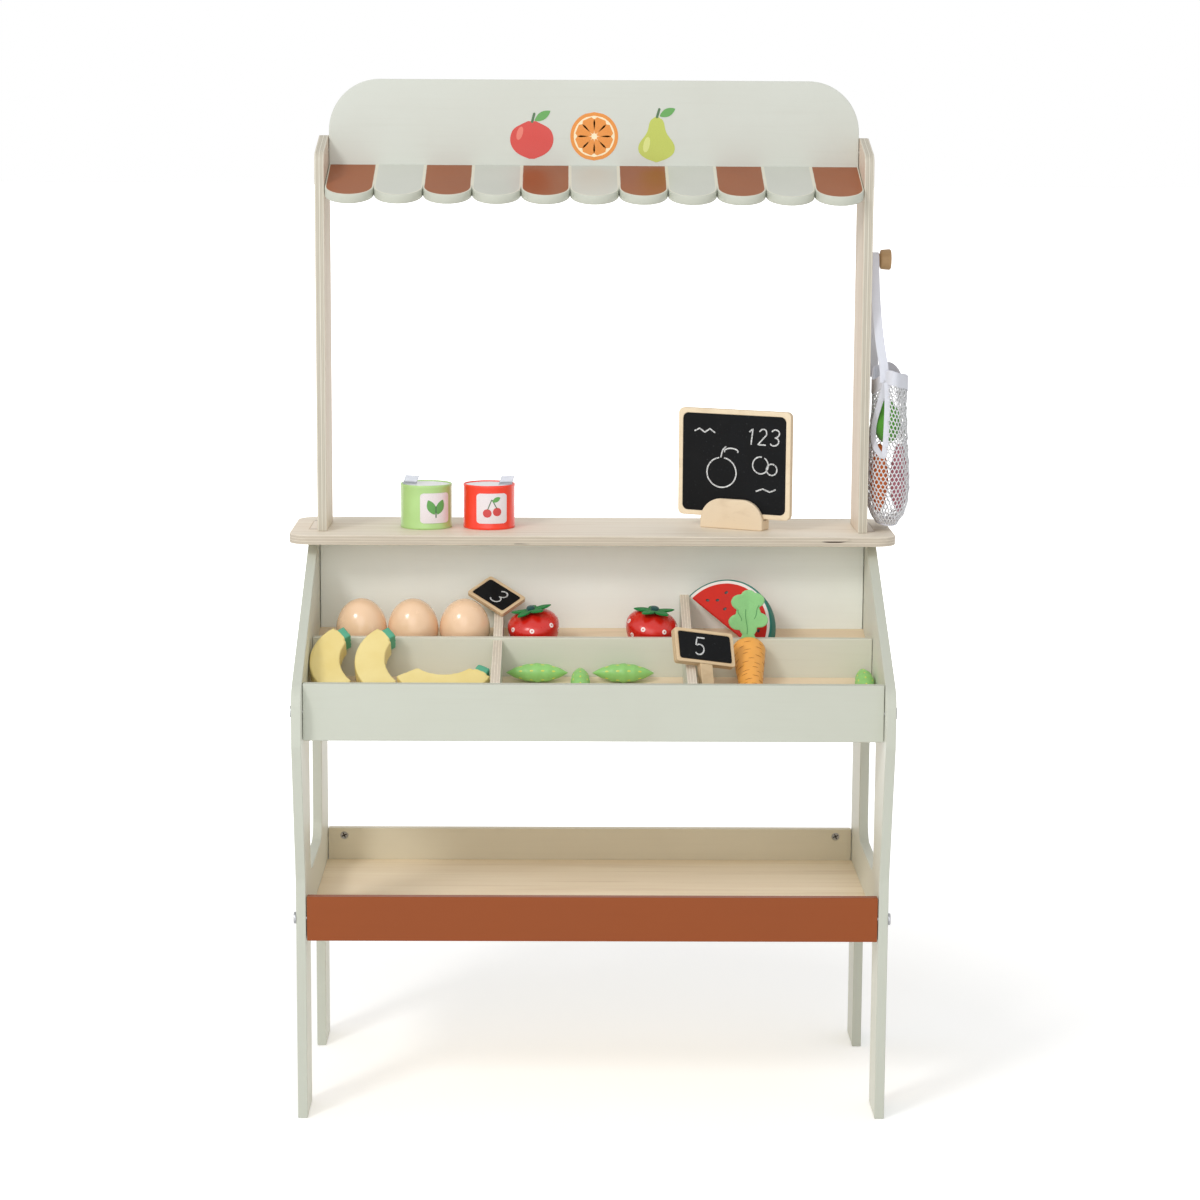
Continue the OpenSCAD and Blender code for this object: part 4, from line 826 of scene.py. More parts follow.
melon_start = math.degrees(math.asin(MELON_CUT / MELON_R))
melon_arc = [melon_start + (180 - 2 * melon_start) * i / 72 for i in range(73)]
melon_outline = [(MELON_R * cos(a), MELON_R * sin(a)) for a in melon_arc]
(melon_right, _), (melon_left, _) = melon_outline[0], melon_outline[-1]
melon_outline += [(melon_left + (melon_right - melon_left) * i / 24, MELON_CUT) for i in range(1, 24)]
make = toy("watermelon_slice", melon_where)
make("_cut", slab(melon_outline, MELON_T, MELON_EDGE), melon_paint(), "melon_paint", ["watermelon_slice"],
     -MELON_T / 2)
melon_seeds = [dot_on(Vector((x * MELON_R, y * MELON_R, side * (MELON_T / 2 + 0.02))), Vector((0, 0, side)),
                      r=2.1, lift=0.3, squeeze=0.72, spin=side * spin)
               for side in (1, -1) for x, y, spin in MELON_SEEDS]
black_paint = toy_paint("black_lacquer", rgb(34, 26, 24), 0.4, 0.2)
make("_seeds", joined(melon_seeds), black_paint, "black_paint")

# Carrot: a turned root with painted strokes, and two layers of felt leaves
CARROT_L, CARROT_D, CARROT_TIP_R, CARROT_LEAN = 94.0, 35.0, 10.0, 58.0
CARROT_DOME = CARROT_D / 2 * 0.6
STROKE_ROWS, STROKES_ROUND, STROKE_HALF_W = 13, 6, 0.34
LEAF_SPREAD, LEAF_FAN, LEAF_DROOP, LEAF_SUNK = 1.22, 18, 6, 54 * 0.05
LEAF_CUTS = ((-1.5, 8, 26, 3), (5.5, 24, 15, -16), (-6.5, 22, 12, 17))
CUT_R, CUT_STEPS, CUT_OUT = 0.32, 8, 1.22
carrot_dome_reach = math.hypot(CARROT_DOME * sin(CARROT_LEAN), CARROT_D / 2 * cos(CARROT_LEAN))
carrot_y = TIER_Y - SEAT - (CARROT_L - CARROT_DOME - CARROT_TIP_R) * sin(CARROT_LEAN) - carrot_dome_reach
carrot_z = front_floor(carrot_y) + (CARROT_TIP_R + SEAT) / cos(SLOPE)
carrot_where = move(DIVIDER_X + BAY_W / 3, carrot_y, carrot_z) @ turn(-CARROT_LEAN, "X")
carrot_where = carrot_where @ move(0, 0, -CARROT_TIP_R)
carrot_tip = [(CARROT_TIP_R * cos(a), CARROT_TIP_R * (1 + sin(a))) for a in range(-84, 1, 6)]
carrot_dome = [(CARROT_D / 2 * cos(a), CARROT_L - CARROT_DOME * (1 - sin(a))) for a in range(0, 85, 6)]
(low_r, low_z), (high_r, high_z) = carrot_tip[-1], carrot_dome[0]
carrot_wall = [(low_r + (high_r - low_r) * i / 20 - 0.12 * (1 - math.cos(math.tau * i / 4)),
                low_z + (high_z - low_z) * i / 20) for i in range(1, 20)]
carrot_profile = [(0.0, 0.0)] + carrot_tip + carrot_wall + carrot_dome + [(0.0, CARROT_L)]
carrot_paint = toy_paint("carrot_lacquer", rgb(243, 171, 75), 0.42, 0.12)
make = toy("carrot", carrot_where)
make("_turned", lathe(carrot_profile, 64), carrot_paint, "orange_paint", ["carrot_body"])
stroke_paint = toy_paint("carrot_strokes", rgb(178, 104, 34), 0.5, 0.05)


def carrot_radius(z):
    return low_r + (high_r - low_r) * (z - low_z) / (high_z - low_z)


def disc_rows(rx, ry):
    """Half widths of an ellipse, with its lowest and highest row."""
    return (lambda y: rx * root(1 - (y / ry) ** 2)), -ry, ry


def carrot_stroke(a, z, half):
    """A short painted stroke that follows the root round."""
    def lay(x, y, lift):
        r = carrot_radius(z + y) + lift
        b = math.radians(a) + x / carrot_radius(z)
        return r * math.cos(b), r * math.sin(b), z + y + x * 0.1

    return wrapped(*disc_rows(half, STROKE_HALF_W), lay, thick=0.12, rows=4, columns=8)


strokes = []
for i in range(STROKE_ROWS):
    z = low_z + 3.2 + i * (high_z - low_z - 5.5) / (STROKE_ROWS - 1)
    for j in range(STROKES_ROUND):
        a = 60 * j + 27 * i + 9 * math.sin(i * 3 + j)
        half = 2.6 + 1.5 * abs(math.sin(i * 2.1 + j * 1.7))
        strokes.append(carrot_stroke(a, z + 1.3 * math.sin(j * 2.4 + i), half))
make("_strokes", joined(strokes), stroke_paint, "orange_paint")
light_felt = felt("light_green_felt_look", rgb(146, 207, 136))
carrot_felt = softened("carrot_felt", "carrot_leaves", light_felt, "carrot", "light_green_felt",
                       voxel=0.0007, rounds=6)
carrot_x = carrot_where.translation.x
leaf_spread = move(carrot_x, 0, 0) @ stretch(LEAF_SPREAD, 1) @ move(-carrot_x, 0, 0)
carrot_felt.data.transform(TO_FRAME @ leaf_spread @ TO_FRAME.inverted())
# Painted shade: the leaves' cuts are tubes of a darker felt green, standing in for the shade in the slits
cut_shade_felt = felt("leaf_cut_look", rgb(84, 150, 88))
cuts = []
for fan in (-LEAF_FAN, LEAF_FAN):
    for x, y, length, lean in LEAF_CUTS:
        for face in (-1, 1):
            bent = [(x + s * length * sin(lean) / CUT_STEPS * -1 + 0.5 * math.sin(s * 0.8),
                     y + s * length * cos(lean) / CUT_STEPS, face * CUT_OUT) for s in range(CUT_STEPS + 1)]
            cuts.append(placed(tube(bent, CUT_R), turn(fan, "Z") @ turn(90, "X")))
leaf_where = carrot_where @ move(0, 0, CARROT_L) @ turn(CARROT_LEAN - LEAF_DROOP, "X") @ move(0, 0, LEAF_SUNK)
toy("carrot", leaf_spread @ leaf_where)("_leaf_cuts", joined(cuts), cut_shade_felt, "light_green_felt")

# Bananas: rounded crescents, whose stem ends are dipped in green
BANANA_LEAN, BANANA_ROLL, BANANA_R, BANANA_BEND = 52, 8, 54, 62
banana_run = (TIER_TOP - TIER_LOW - SEAT) / (cos(BANANA_LEAN) - sin(SLOPE) / cos(SLOPE) * sin(BANANA_LEAN))


def leaning(x):
    at_y, at_z = TIER_Y - banana_run * sin(BANANA_LEAN), TIER_TOP - banana_run * cos(BANANA_LEAN)
    return move(x, at_y, at_z) @ turn(90 - BANANA_LEAN, "X") @ move(0, 0, SEAT)


standing = move(0, BANANA_R * sin(BANANA_BEND + BANANA_ROLL), 0) @ turn(BANANA_ROLL, "Z")
lying = move(0, BANANA_R, 0) @ turn(90, "Z") @ stretch(1, -1)
BANANAS = {
    "banana_left": leaning(-SIDE_X + BANANA_R + 1) @ standing,
    "banana_middle": leaning(-SIDE_X + BANANA_R + 1 + 0.85 * BANANA_R) @ standing,
    "banana_lying": leaning(-DIVIDER_X - HALF_PLY - BANANA_R * sin(BANANA_BEND) - 1) @ lying,
}


def banana_paint(name, where):
    look = Look(name)
    stem = (where.to_3x3() @ Vector((sin(BANANA_BEND), cos(BANANA_BEND), 0))).normalized()
    reach = look.wavy(look.along(tuple(stem), tuple(TO_FRAME @ where.translation)), 120.0, 0.0012)
    tone = look.noise(30.0, 4.0)
    yellow = look.blend(tone, rgb(235, 212, 134), rgb(243, 224, 154))
    made = look.cover(yellow, rgb(84, 168, 134), reach, 0.0006, 0.0014)
    look.bump(look.grain(0, 40.0, 200.0, 3.0, 0.6, 0.5), 0.12, 0.00015)
    return look.done(made, look.level(tone, 0.4, 0.5), Coat_Weight=0.1, Coat_Roughness=0.3)


for banana, where in BANANAS.items():
    softened(banana + "_sanded", banana, banana_paint(banana + "_lacquer", where), banana, "yellow_paint",
             voxel=0.001, rounds=12)

# Pea pods: plump spindles with a seam and painted marks
POD_L, POD_D, POD_PEA = 64.0, 20.0, 11.5
POD_MARK_AT, POD_MARK_ROUND = (-17, -5.8, 5.8, 17), (180, 128, 232, 60, 300)
pod_bow = (POD_L ** 2 + POD_D ** 2) / (4 * POD_D)
pod_paint = toy_paint("pod_lacquer", rgb(149, 209, 118), 0.44, 0.06)
mark_paint = toy_paint("pod_marks", rgb(214, 222, 96), 0.35, 0.25)


def pod_radius(s):
    r = POD_D / 2 - pod_bow + root(pod_bow ** 2 - s * s)
    peas = 0.035 * (1 + math.cos(math.tau * s / POD_PEA)) - 0.07
    return max(0.0, r * (1 + peas))


def pod_mesh():
    points, faces = lathe([(pod_radius(s), s) for s in np.linspace(-POD_L / 2, POD_L / 2, 61)], 40)
    bent = []
    for x, y, z in points:
        seam = 0.5 * math.exp(-(math.atan2(y, x) / 0.16) ** 2) * min(1.0, math.hypot(x, y) / 4)
        bent.append((x - seam * 0.8, y, z))
    return bent, faces


def pod_mark(s, a):
    p = Vector((pod_radius(s) * cos(a), pod_radius(s) * sin(a), s))
    normal = Vector((cos(a), sin(a), s / pod_bow)).normalized()
    return dot_on(p, normal, r=1.9, lift=0.2, squeeze=0.5, spin=90)


pod_row_y, pod_along_y = TIER_Y - POD_D / 2 - 2.4, TIER_Y - POD_L / 2 - 1.2
pod_x, pod_step = -0.07 * BAY_W, POD_D / 2 + POD_L / 2 + 2.4
PODS = {
    "pea_pod_left": (pod_x - pod_step, pod_row_y, 0),
    "pea_pod_middle": (pod_x, pod_along_y, 90),
    "pea_pod_right": (pod_x + pod_step, pod_row_y, 0),
    "pea_pod_end": (SIDE_X - POD_D / 2 - 1.2, pod_along_y, 90),
}
for pod, (x, y, spin) in PODS.items():
    where = move(x, y, front_floor(y)) @ turn(SLOPE, "X") @ move(0, 0, POD_D / 2 + SEAT) @ turn(spin, "Z")
    where = where @ turn(90, "Y")
    make = toy(pod, where)
    make("_turned", pod_mesh(), pod_paint, "light_green_felt", [pod])
    marks = [pod_mark(s, a) for s in POD_MARK_AT for a in POD_MARK_ROUND]
    make("_marks", joined(marks), mark_paint, "light_green_felt")


# Price signs: bare plywood with a black face and chalk numbers
def strokes_on(lines, z, width=1.5):
    """Chalk strokes from lines of (x, y) points on a flat face at z."""
    made = []
    for line in lines:
        fine = []
        for (ax, ay), (bx, by) in zip(line, line[1:]):
            fine += [(ax + (bx - ax) * i / 5, ay + (by - ay) * i / 5) for i in range(5)]
        fine.append(line[-1])
        across = [(ay - by, bx - ax, 0) for (ax, ay), (bx, by) in zip(fine[:1] + fine, fine[1:] + fine[-1:])]
        made.append(ribbon([(x, y, z) for x, y in fine], across, width, 0.12))
    return joined(made)


def arc(x, y, rx, ry, start, end, steps=14):
    angles = [start + (end - start) * i / steps for i in range(steps + 1)]
    return [(x + rx * cos(a), y + ry * sin(a)) for a in angles]


def sized(lines, size, x=0.0, y=0.0, lean=0.0):
    return [[(x + size * (px + lean * py), y + size * py) for px, py in line] for line in lines]


ONE = [[(-0.16, 0.28), (0.05, 0.5), (0.05, -0.5)]]
TWO = [arc(0, 0.22, 0.25, 0.28, 160, -20) + [(-0.26, -0.48), (0.28, -0.48)]]
THREE = [arc(0, 0.25, 0.28, 0.25, 150, -90), arc(0, -0.25, 0.3, 0.25, 90, -150)]
FIVE = [[(0.26, 0.5), (-0.2, 0.5), (-0.24, 0.06)], arc(-0.02, -0.18, 0.28, 0.3, 130, -140)]
SIGN_LEAN, SIGN_YAW, SIGN_ROLL = 31, 30, 12
SIGN_STICK_W, SIGN_STICK_L, SIGN_W, SIGN_H, SIGN_T = 14, 60, 67, 37, 8.0
REAR_SIGN_W, REAR_SIGN_H, REAR_SIGN_T, REAR_SIGN_LEAN, REAR_SIGN_ROLL = 52, 36, 5.0, 58, 43
SIGN_BORDER, SIGN_CORNER, SIGN_ROUND, FACE_SUNK, CHALK_SUNK = 7.4, 2.6, 0.0007, 0.62, 0.27
DIVIDER_PROUD, DIVIDER_BACK_H = 0.5, 36.4
sign_y = TRAY_IN_Y + (TIER_Y - TRAY_IN_Y) * 0.1
sign_rise = cos(SLOPE) * cos(SIGN_LEAN) - sin(SLOPE) * sin(SIGN_LEAN) * cos(SIGN_YAW)
sign_drop = sin(SLOPE) * sin(SIGN_YAW) * cos(SIGN_ROLL) + sign_rise * sin(SIGN_ROLL)
sign_foot = (SEAT + SIGN_STICK_W / 2 * sign_drop) / sign_rise
front_where = move(DIVIDER_X + BAY_W * 0.095, sign_y, front_floor(sign_y)) @ turn(SIGN_YAW, "Z")
front_where = front_where @ turn(90 - SIGN_LEAN, "X") @ move(0, sign_foot, 0) @ turn(-SIGN_ROLL, "Z")
front_where = front_where @ move(0, SIGN_STICK_L + SIGN_H / 2, 0)
rear_y = TIER_IN_Y + (BACK_Y - TIER_IN_Y) * 0.42
rear_rise = BACK_LOW + DIVIDER_BACK_H - TIER_TOP - DIVIDER_PROUD
rear_z = TIER_TOP + DIVIDER_PROUD + (rear_y - TIER_IN_Y) * rear_rise / (BACK_Y - TIER_IN_Y)
rear_up = REAR_SIGN_W / 2 * sin(REAR_SIGN_ROLL) + REAR_SIGN_H / 2 * cos(REAR_SIGN_ROLL)
rear_where = move(-DIVIDER_X - 3, rear_y, rear_z) @ turn(90 - REAR_SIGN_LEAN, "X")
rear_where = rear_where @ move(0, rear_up, SEAT) @ turn(-REAR_SIGN_ROLL, "Z")
SIGNS = (
    ("price_sign_front", front_where, SIGN_W, SIGN_H, SIGN_T, sized(FIVE, 19, -6, 0, 0.15)),
    ("price_sign_rear", rear_where, REAR_SIGN_W, REAR_SIGN_H, REAR_SIGN_T, sized(THREE, 19, 4, 0, 0.1)),
)
for sign, where, w, h, thick, lines in SIGNS:
    axis = (where.to_3x3() @ Vector(Z)).normalized()
    layers = (tuple(axis), axis.dot(TO_FRAME @ where.translation), thick * MM, 5)
    finish_node(sign, board(sign + "_wood", 0, rgb(222, 196, 158), layers=layers), SIGN_ROUND)
    outline = rounded_box(w - SIGN_BORDER, h - SIGN_BORDER, SIGN_CORNER)
    face = slab(outline, thick=0.3, edge=0.08, steps=2)
    make = toy(sign, where)
    make("_face", face, slate_look, "black_paint", up=thick - FACE_SUNK)
    make("_chalk", strokes_on(lines, thick - CHALK_SUNK), chalk_look, "white_paint")

# Prints: flat patches in plain inks, laid on the tins' labels and on the header
INKS = {
    "label_paper": rgb(233, 224, 226), "leaf_ink": rgb(92, 158, 76), "stalk_ink": rgb(66, 104, 62),
    "cherry_ink": rgb(205, 62, 62), "apple_ink": rgb(206, 60, 50), "apple_light": rgb(226, 120, 104),
    "orange_ink": rgb(226, 140, 46), "pith_ink": rgb(244, 228, 190), "pear_ink": rgb(186, 196, 84),
    "pear_light": rgb(212, 218, 130),
}
inks = {name: print_paint(name, colour) for name, colour in INKS.items()}


def shifted(lay, dx, dy, more=0.0, spin=0.0):
    return lambda x, y, lift: lay(dx + x * cos(spin) - y * sin(spin), dy + x * sin(spin) + y * cos(spin),
                                  lift + more)


def box_rows(w, h, r):
    """Half widths of a box with round corners, with its lowest and highest row."""
    return (lambda y: w / 2 - r + root(r * r - max(0.0, abs(y) - (h / 2 - r)) ** 2)), -h / 2, h / 2


def leaf_rows(w, h):
    return (lambda y: w / 2 * math.cos(math.pi * y / h) ** 0.8 if abs(y) < h / 2 else 0.0), -h / 2, h / 2


def outline_rows(table, low, high):
    """Half widths from a smooth table up a motif."""
    ys = np.linspace(low, high, len(table))
    return (lambda y: float(np.interp(y, ys, table))), low, high


def add_prints(name, rows, lay, body, slot, where):
    """Each row has a shape, its ink, x, y, lift, turn and thickness, and a grid that isn't the usual one."""
    for i, (shape, ink, x, y, lift, spin, thick, *grid) in enumerate(rows):
        mesh = wrapped(*shape, shifted(lay, x, y, lift, spin), thick, *grid)
        piece(f"{name}_print_{i}", mesh, inks[ink], body, slot, where=where)


# Tins: rolled tubes with a lid below the rim, a bent tab and a plain label with leaves or cherries
TIN_R, TIN_H, TIN_Y = 27.5, 47.0, 228.5
TIN_FOOT = ((TIN_R, 0), (0.9, 0), (0.25, 0.3), (0, 1.0), (0, 2.4), (0.25, 2.9))
TIN_RIM = ((0.25, 2.9), (0, 2.4), (0, 0.6), (0.3, 0.1), (1.0, 0), (1.8, 0.2), (2.0, 0.8), (2.0, 2.4),
           (TIN_R, 2.4))
TIN_LID = ((TIN_R, 2.3), (2.1, 2.3), (2.1, 1.4), (3, 1.2), (6, 1.25), (TIN_R, 1.3))
TAB = ((-4, 0.6), (-1, 0.62), (2, 0.75), (3.4, 1.6), (4.0, 3.2), (4.4, 6.0), (4.9, 8.6))
TAB_X, TAB_W, TAB_T = 17.5, 14.4, 1.0
LABEL_W, LABEL_H, LABEL_R, LABEL_T = 34, 32, 3.5, 0.2
LEAVES = ((leaf_rows(9, 17), "leaf_ink", -5, 1, 0.22, 24, 0.1),
          (leaf_rows(9, 17), "leaf_ink", 5, 1, 0.22, -24, 0.1),
          (box_rows(1.3, 13, 0.5), "stalk_ink", 0, -4, 0.24, 0, 0.1))
CHERRIES = ((disc_rows(4.6, 4.6), "cherry_ink", -5.2, -5, 0.22, 0, 0.1),
            (disc_rows(4.6, 4.6), "cherry_ink", 5.4, -3.6, 0.22, 0, 0.1),
            (box_rows(1.0, 12, 0.4), "stalk_ink", -2.6, 4.2, 0.24, -22, 0.1),
            (box_rows(1.0, 11, 0.4), "stalk_ink", 2.6, 4.6, 0.24, 28, 0.1),
            (leaf_rows(5, 10), "leaf_ink", 4.6, 9.4, 0.26, -62, 0.1))
TINS = (("green", -177.09, rgb(178, 216, 138), -1, LEAVES, -66.0),
        ("red", -110.2, rgb(250, 60, 32), 1, CHERRIES, -82.0))
lid_paint = toy_paint("lid_paper", rgb(238, 239, 242), 0.45, 0.1, 0.02)
tab_metal = metal("silver_flap", rgb(186, 189, 196), 0.38, 0.55)


def from_rim(rows):
    """Rows of a depth in from the tin's side and down from its rim, as a profile."""
    return [(TIN_R - a, TIN_H - b) for a, b in rows]


def on_tin(middle):
    """Lays x round the tin from an angle, y up it."""
    def lay(x, y, lift):
        a = math.radians(middle) + x / TIN_R
        return (TIN_R + lift) * math.cos(a), (TIN_R + lift) * math.sin(a), y

    return lay


for kind, x, colour, side, motif, facing in TINS:
    tin = "tin_" + kind
    where = move(x, TIN_Y, COUNTER_H)
    make = toy(tin, where)
    profile = [(TIN_R - a, b) for a, b in TIN_FOOT] + from_rim(TIN_RIM)
    paper = toy_paint(tin + "_paper", colour, 0.34, 0.2, 0.03)
    make("_tube", lathe(profile, 96), paper, kind + "_tin", [tin + "_body"], sharp=50)
    make("_disc", lathe(from_rim(TIN_LID), 96), lid_paint, "white_paint", [tin + "_lid"])
    tab_path = [(side * TAB_X + 0.35 * (z - 1), y, TIN_H - 1.25 + z) for y, z in TAB]
    tab = ribbon(tab_path, [(1, 0, 0.06 * side)] * len(TAB), TAB_W, TAB_T)
    make("_flap", tab, tab_metal, "silver_felt", [tin + "_tab"])
    lay = shifted(on_tin(facing), 0, TIN_H / 2 - 0.6)
    label = wrapped(*box_rows(LABEL_W, LABEL_H, LABEL_R), lay, LABEL_T, rows=24, columns=24)
    make("_label", label, inks["label_paper"], "white_paint")
    add_prints(tin, motif, lay, tin, "white_paint", where)

# Chalkboard in its stand
STAND = move(151.606, 225.5, COUNTER_H) @ turn(-27, "Z")
SLATE_UP = 12 + 57.5
FRAME_ROUND, SLATE_ROUND, STAND_ROUND = 0.0012, 0.0003, 0.0014
stand_axis = STAND.to_3x3() @ Vector((0, 1, 0))
stand_low = stand_axis.dot(TO_FRAME @ STAND.translation)
frame_layers = (tuple(stand_axis), stand_low - 0.004, 0.008, 5)
frame_look = board("chalkboard_wood", 0, rgb(238, 220, 190), layers=frame_layers)
finish_node("chalkboard_frame", frame_look, FRAME_ROUND)
finish_node("chalkboard_slate", slate_look, SLATE_ROUND)
finish_node("chalkboard_stand", board("stand_wood", 0, rgb(232, 213, 184)), STAND_ROUND)
doodle = [
    arc(-14, -10, 17, 16, 100, 440, 30), [(-15, 6), (-13, 14), (-9, 18)], arc(-3, 13, 8, 3.4, 200, -20, 8),
    [(-46, 33), (-40, 36), (-34, 32), (-28, 36), (-22, 32)], [(26, -28), (34, -25), (42, -28), (49, -25)],
]
for number, x in ((ONE, 20), (TWO, 33), (THREE, 47)):
    doodle += sized(number, 17, x, 30, 0.12)
doodle += [arc(31, 0, 9, 9, 80, 420, 20), arc(44, -4, 6, 6, 60, 410, 16)]
piece("chalkboard_chalk", strokes_on(doodle, 0.1), chalk_look, "chalkboard", "white_paint",
      where=STAND @ move(0, -4.0, SLATE_UP) @ turn(90, "X"))

# Header prints: an apple, an orange slice and a pear in a row
HEADER = move(0, 252.0, 992.5) @ turn(90, "X") @ stretch(1.4, 1.4)
APPLE = outline_rows([2.0, 8.0, 11.6, 13.8, 15.2, 16.0, 16.3, 16.2, 15.6, 14.5, 12.4, 8.0, 3.0], -15, 13)
PEAR = outline_rows([0.5, 7.6, 11.4, 13.2, 13.8, 13.6, 12.6, 10.9, 8.9, 7.4, 6.5, 6.0, 5.5, 4.4, 0.6],
                    -18, 16)
WEDGE = outline_rows([0.6, 2.0, 3.4, 4.6, 4.9, 3.4], 2.2, 14.0)
WEDGES = 8
header_prints = [
    (APPLE, "apple_ink", -47, -2, 0, 0, 0.25, 28, 16),
    (disc_rows(2.2, 5.2), "apple_light", -56, 2, 0.24, -16, 0.1),
    (box_rows(1.8, 8, 0.8), "stalk_ink", -46, 13.5, 0.22, -14, 0.12),
    (leaf_rows(6, 14), "leaf_ink", -39, 15, 0.2, -58, 0.12),
    (disc_rows(18, 18), "orange_ink", 0, 0, 0, 0, 0.25, 28, 20),
    (disc_rows(15.4, 15.4), "pith_ink", 0, 0, 0.23, 0, 0.1, 24, 18),
    (PEAR, "pear_ink", 47, -1, 0, 0, 0.25, 32, 16),
    (disc_rows(2.4, 6), "pear_light", 39.5, -6, 0.24, -12, 0.1),
    (box_rows(1.8, 8, 0.8), "stalk_ink", 48, 17.5, 0.2, -16, 0.12),
    (leaf_rows(6, 13), "leaf_ink", 55, 18, 0.2, -64, 0.12),
]
header_prints += [(WEDGE, "orange_ink", 0, 0, 0.32, 360 / WEDGES * (i + 0.5), 0.1, 10, 6)
                  for i in range(WEDGES)]
add_prints("header", header_prints, lambda x, y, lift: (x, y, lift), "stall", "cream_paint", HEADER)

# Net bag: strands on a lofted shell, with a slit bound in tape, a hem, a strap and soft fruit
BAG_X, BAG_Y, BAG_LOW, BAG_H, BAG_T, BAG_W = 314.1, 229.5, 584.0, 170.0, 47.0, 128.0
RING_SHARES = ((0.0, 0.34, 0.42), (0.035, 0.62, 0.66), (0.12, 0.9, 0.88), (0.28, 1.0, 1.0),
               (0.55, 0.86, 0.97), (0.8, 0.74, 0.93), (1.0, 0.78, 0.9))
RING_AT = [r[0] for r in RING_SHARES]
BAG_DROOP = 13.0
STRANDS, ZIGZAGS, YARN_R = 60, 36, 0.66
NET_LOW, NET_RISE = 0.02, 0.9
SLIT_U, SLIT_LOW, SLIT_HIGH, SLIT_WIDE, SLIT_STEPS = 0.672, 0.47, 0.93, 0.1, 64
HEM_V, HEM_W, HEM_STEPS, TAPE_T = 0.955, 15.5, 72, 1.3
SEAM_R, SEAM_STEPS, BASE_RINGS = 0.9, 48, 9
BINDING_W, BINDING_T = 6.0, 1.1


def smooth_share(v, column):
    """A ring's share at a height, eased between the CAD's rings."""
    shares = [r[column] for r in RING_SHARES]
    near = [np.interp(min(1, max(0, v + d)), RING_AT, shares) for d in (-0.03, 0, 0.03)]
    return float(sum(near) / 3)


def bag_point(u, v, out=0.0):
    """A point of the bag's skin: u is a turn from +x, v its height as a share."""
    a = math.tau * u
    slack = min(1.0, max(0.0, (v - 0.4) / 0.4))
    fold = 1 + 0.012 * math.sin(a * 3 + v * 7) * (1 - v) + 0.055 * slack * math.sin(a * 5 + 2.2 + 1.4 * v)
    x = BAG_T / 2 * smooth_share(v, 1) * fold - 0.8 + out
    y = BAG_W / 2 * smooth_share(v, 2) * (1 + (fold - 1) * 0.4) - 0.8 + out
    droop = BAG_DROOP * math.cos(a) ** 2 * v * v + 2.0 * slack * math.sin(a * 4 + 0.6)
    z = BAG_LOW + 0.6 + v * (BAG_H - 1.2) - droop
    return Vector((BAG_X + x * math.cos(a), BAG_Y + y * math.sin(a), z))


def bag_ring(v, out, n):
    return [bag_point(i / n, v, out) for i in range(n)]


def slit_width(v):
    """Width of the teardrop slit, in turns left of its straight edge, at a height; zero outside it."""
    s = (v - SLIT_LOW) / (SLIT_HIGH - SLIT_LOW)
    return SLIT_WIDE * math.sin(math.pi * s ** 0.72) ** 0.9 if 0 < s < 1 else 0.0


def in_slit(u, v):
    return 0 < (SLIT_U - u) % 1.0 < slit_width(v)


net_meshes = []
for i in range(STRANDS):
    runs = [[]]
    for j in range(2 * ZIGZAGS + 1):
        v = NET_LOW + NET_RISE * j / (2 * ZIGZAGS)
        side = 1 if j % 4 in (0, 1) else -1
        u = (i + 0.47 * side * (1 if i % 2 else -1)) / STRANDS
        wander = 0.6 * math.sin(1.7 * i + 0.35 * j) + 0.4 * math.sin(0.9 * j + 0.4 * i) - 0.4
        if in_slit(u, v):
            runs.append([])
        else:
            runs[-1].append(bag_point(u, v, wander))
    net_meshes += [tube(run, YARN_R, sides=5) for run in runs if len(run) > 1]
net_look = cloth("net_yarn", rgb(243, 244, 247), 900.0)
tape_look = cloth("bag_tape", rgb(229, 231, 240), 420.0)
make = toy("bag")
net = make("_net", joined(net_meshes), net_look, "white_net", ["net_bag"], sharp=80)
hem_band = ribbon(bag_ring(HEM_V, 0.3, HEM_STEPS), [Z] * HEM_STEPS, HEM_W, TAPE_T, closed=True)
hem = make("_hem", hem_band, tape_look, "white_tape")
seam_tube = tube(bag_ring(NET_LOW, 0.2, SEAM_STEPS), SEAM_R, sides=8, closed=True)
seam = make("_seam", seam_tube, tape_look, "white_tape")
base_middle = Vector((BAG_X, BAG_Y, BAG_LOW + 2.2))
base_points = []
for k in range(BASE_RINGS):
    f = k / (BASE_RINGS - 1)
    for i, p in enumerate(bag_ring(NET_LOW, 0.0, SEAM_STEPS)):
        q = base_middle + (p - base_middle) * f
        q.z += 0.5 * math.sin(i / SEAM_STEPS * math.tau * 9) * f * (1 - f)
        base_points.append(tuple(q))
base_faces = stitched(BASE_RINGS, SEAM_STEPS, caps=False)
base = make("_base", (base_points, base_faces), net_look, "white_net")
tuned(base.modifiers.new("cloth", "SOLIDIFY"), thickness=0.0008, offset=0.0)
slit_path = []
for t in around(SLIT_STEPS):
    s = (1 - math.cos(t)) / 2
    v = SLIT_LOW + (SLIT_HIGH - SLIT_LOW) * s
    spread = max(0.0, math.sin(math.pi * s)) ** 0.35
    u = SLIT_U + 0.012 * spread if t < math.pi else SLIT_U - slit_width(v) - 0.004 * spread
    slit_path.append(bag_point(u, v, 0.9))
slit_across = [heading(slit_path, i, True).cross(p - Vector((BAG_X, BAG_Y, p.z)))
               for i, p in enumerate(slit_path)]
binding = ribbon(slit_path, slit_across, BINDING_W, BINDING_T, closed=True)
slit = make("_slit_binding", binding, tape_look, "white_tape")

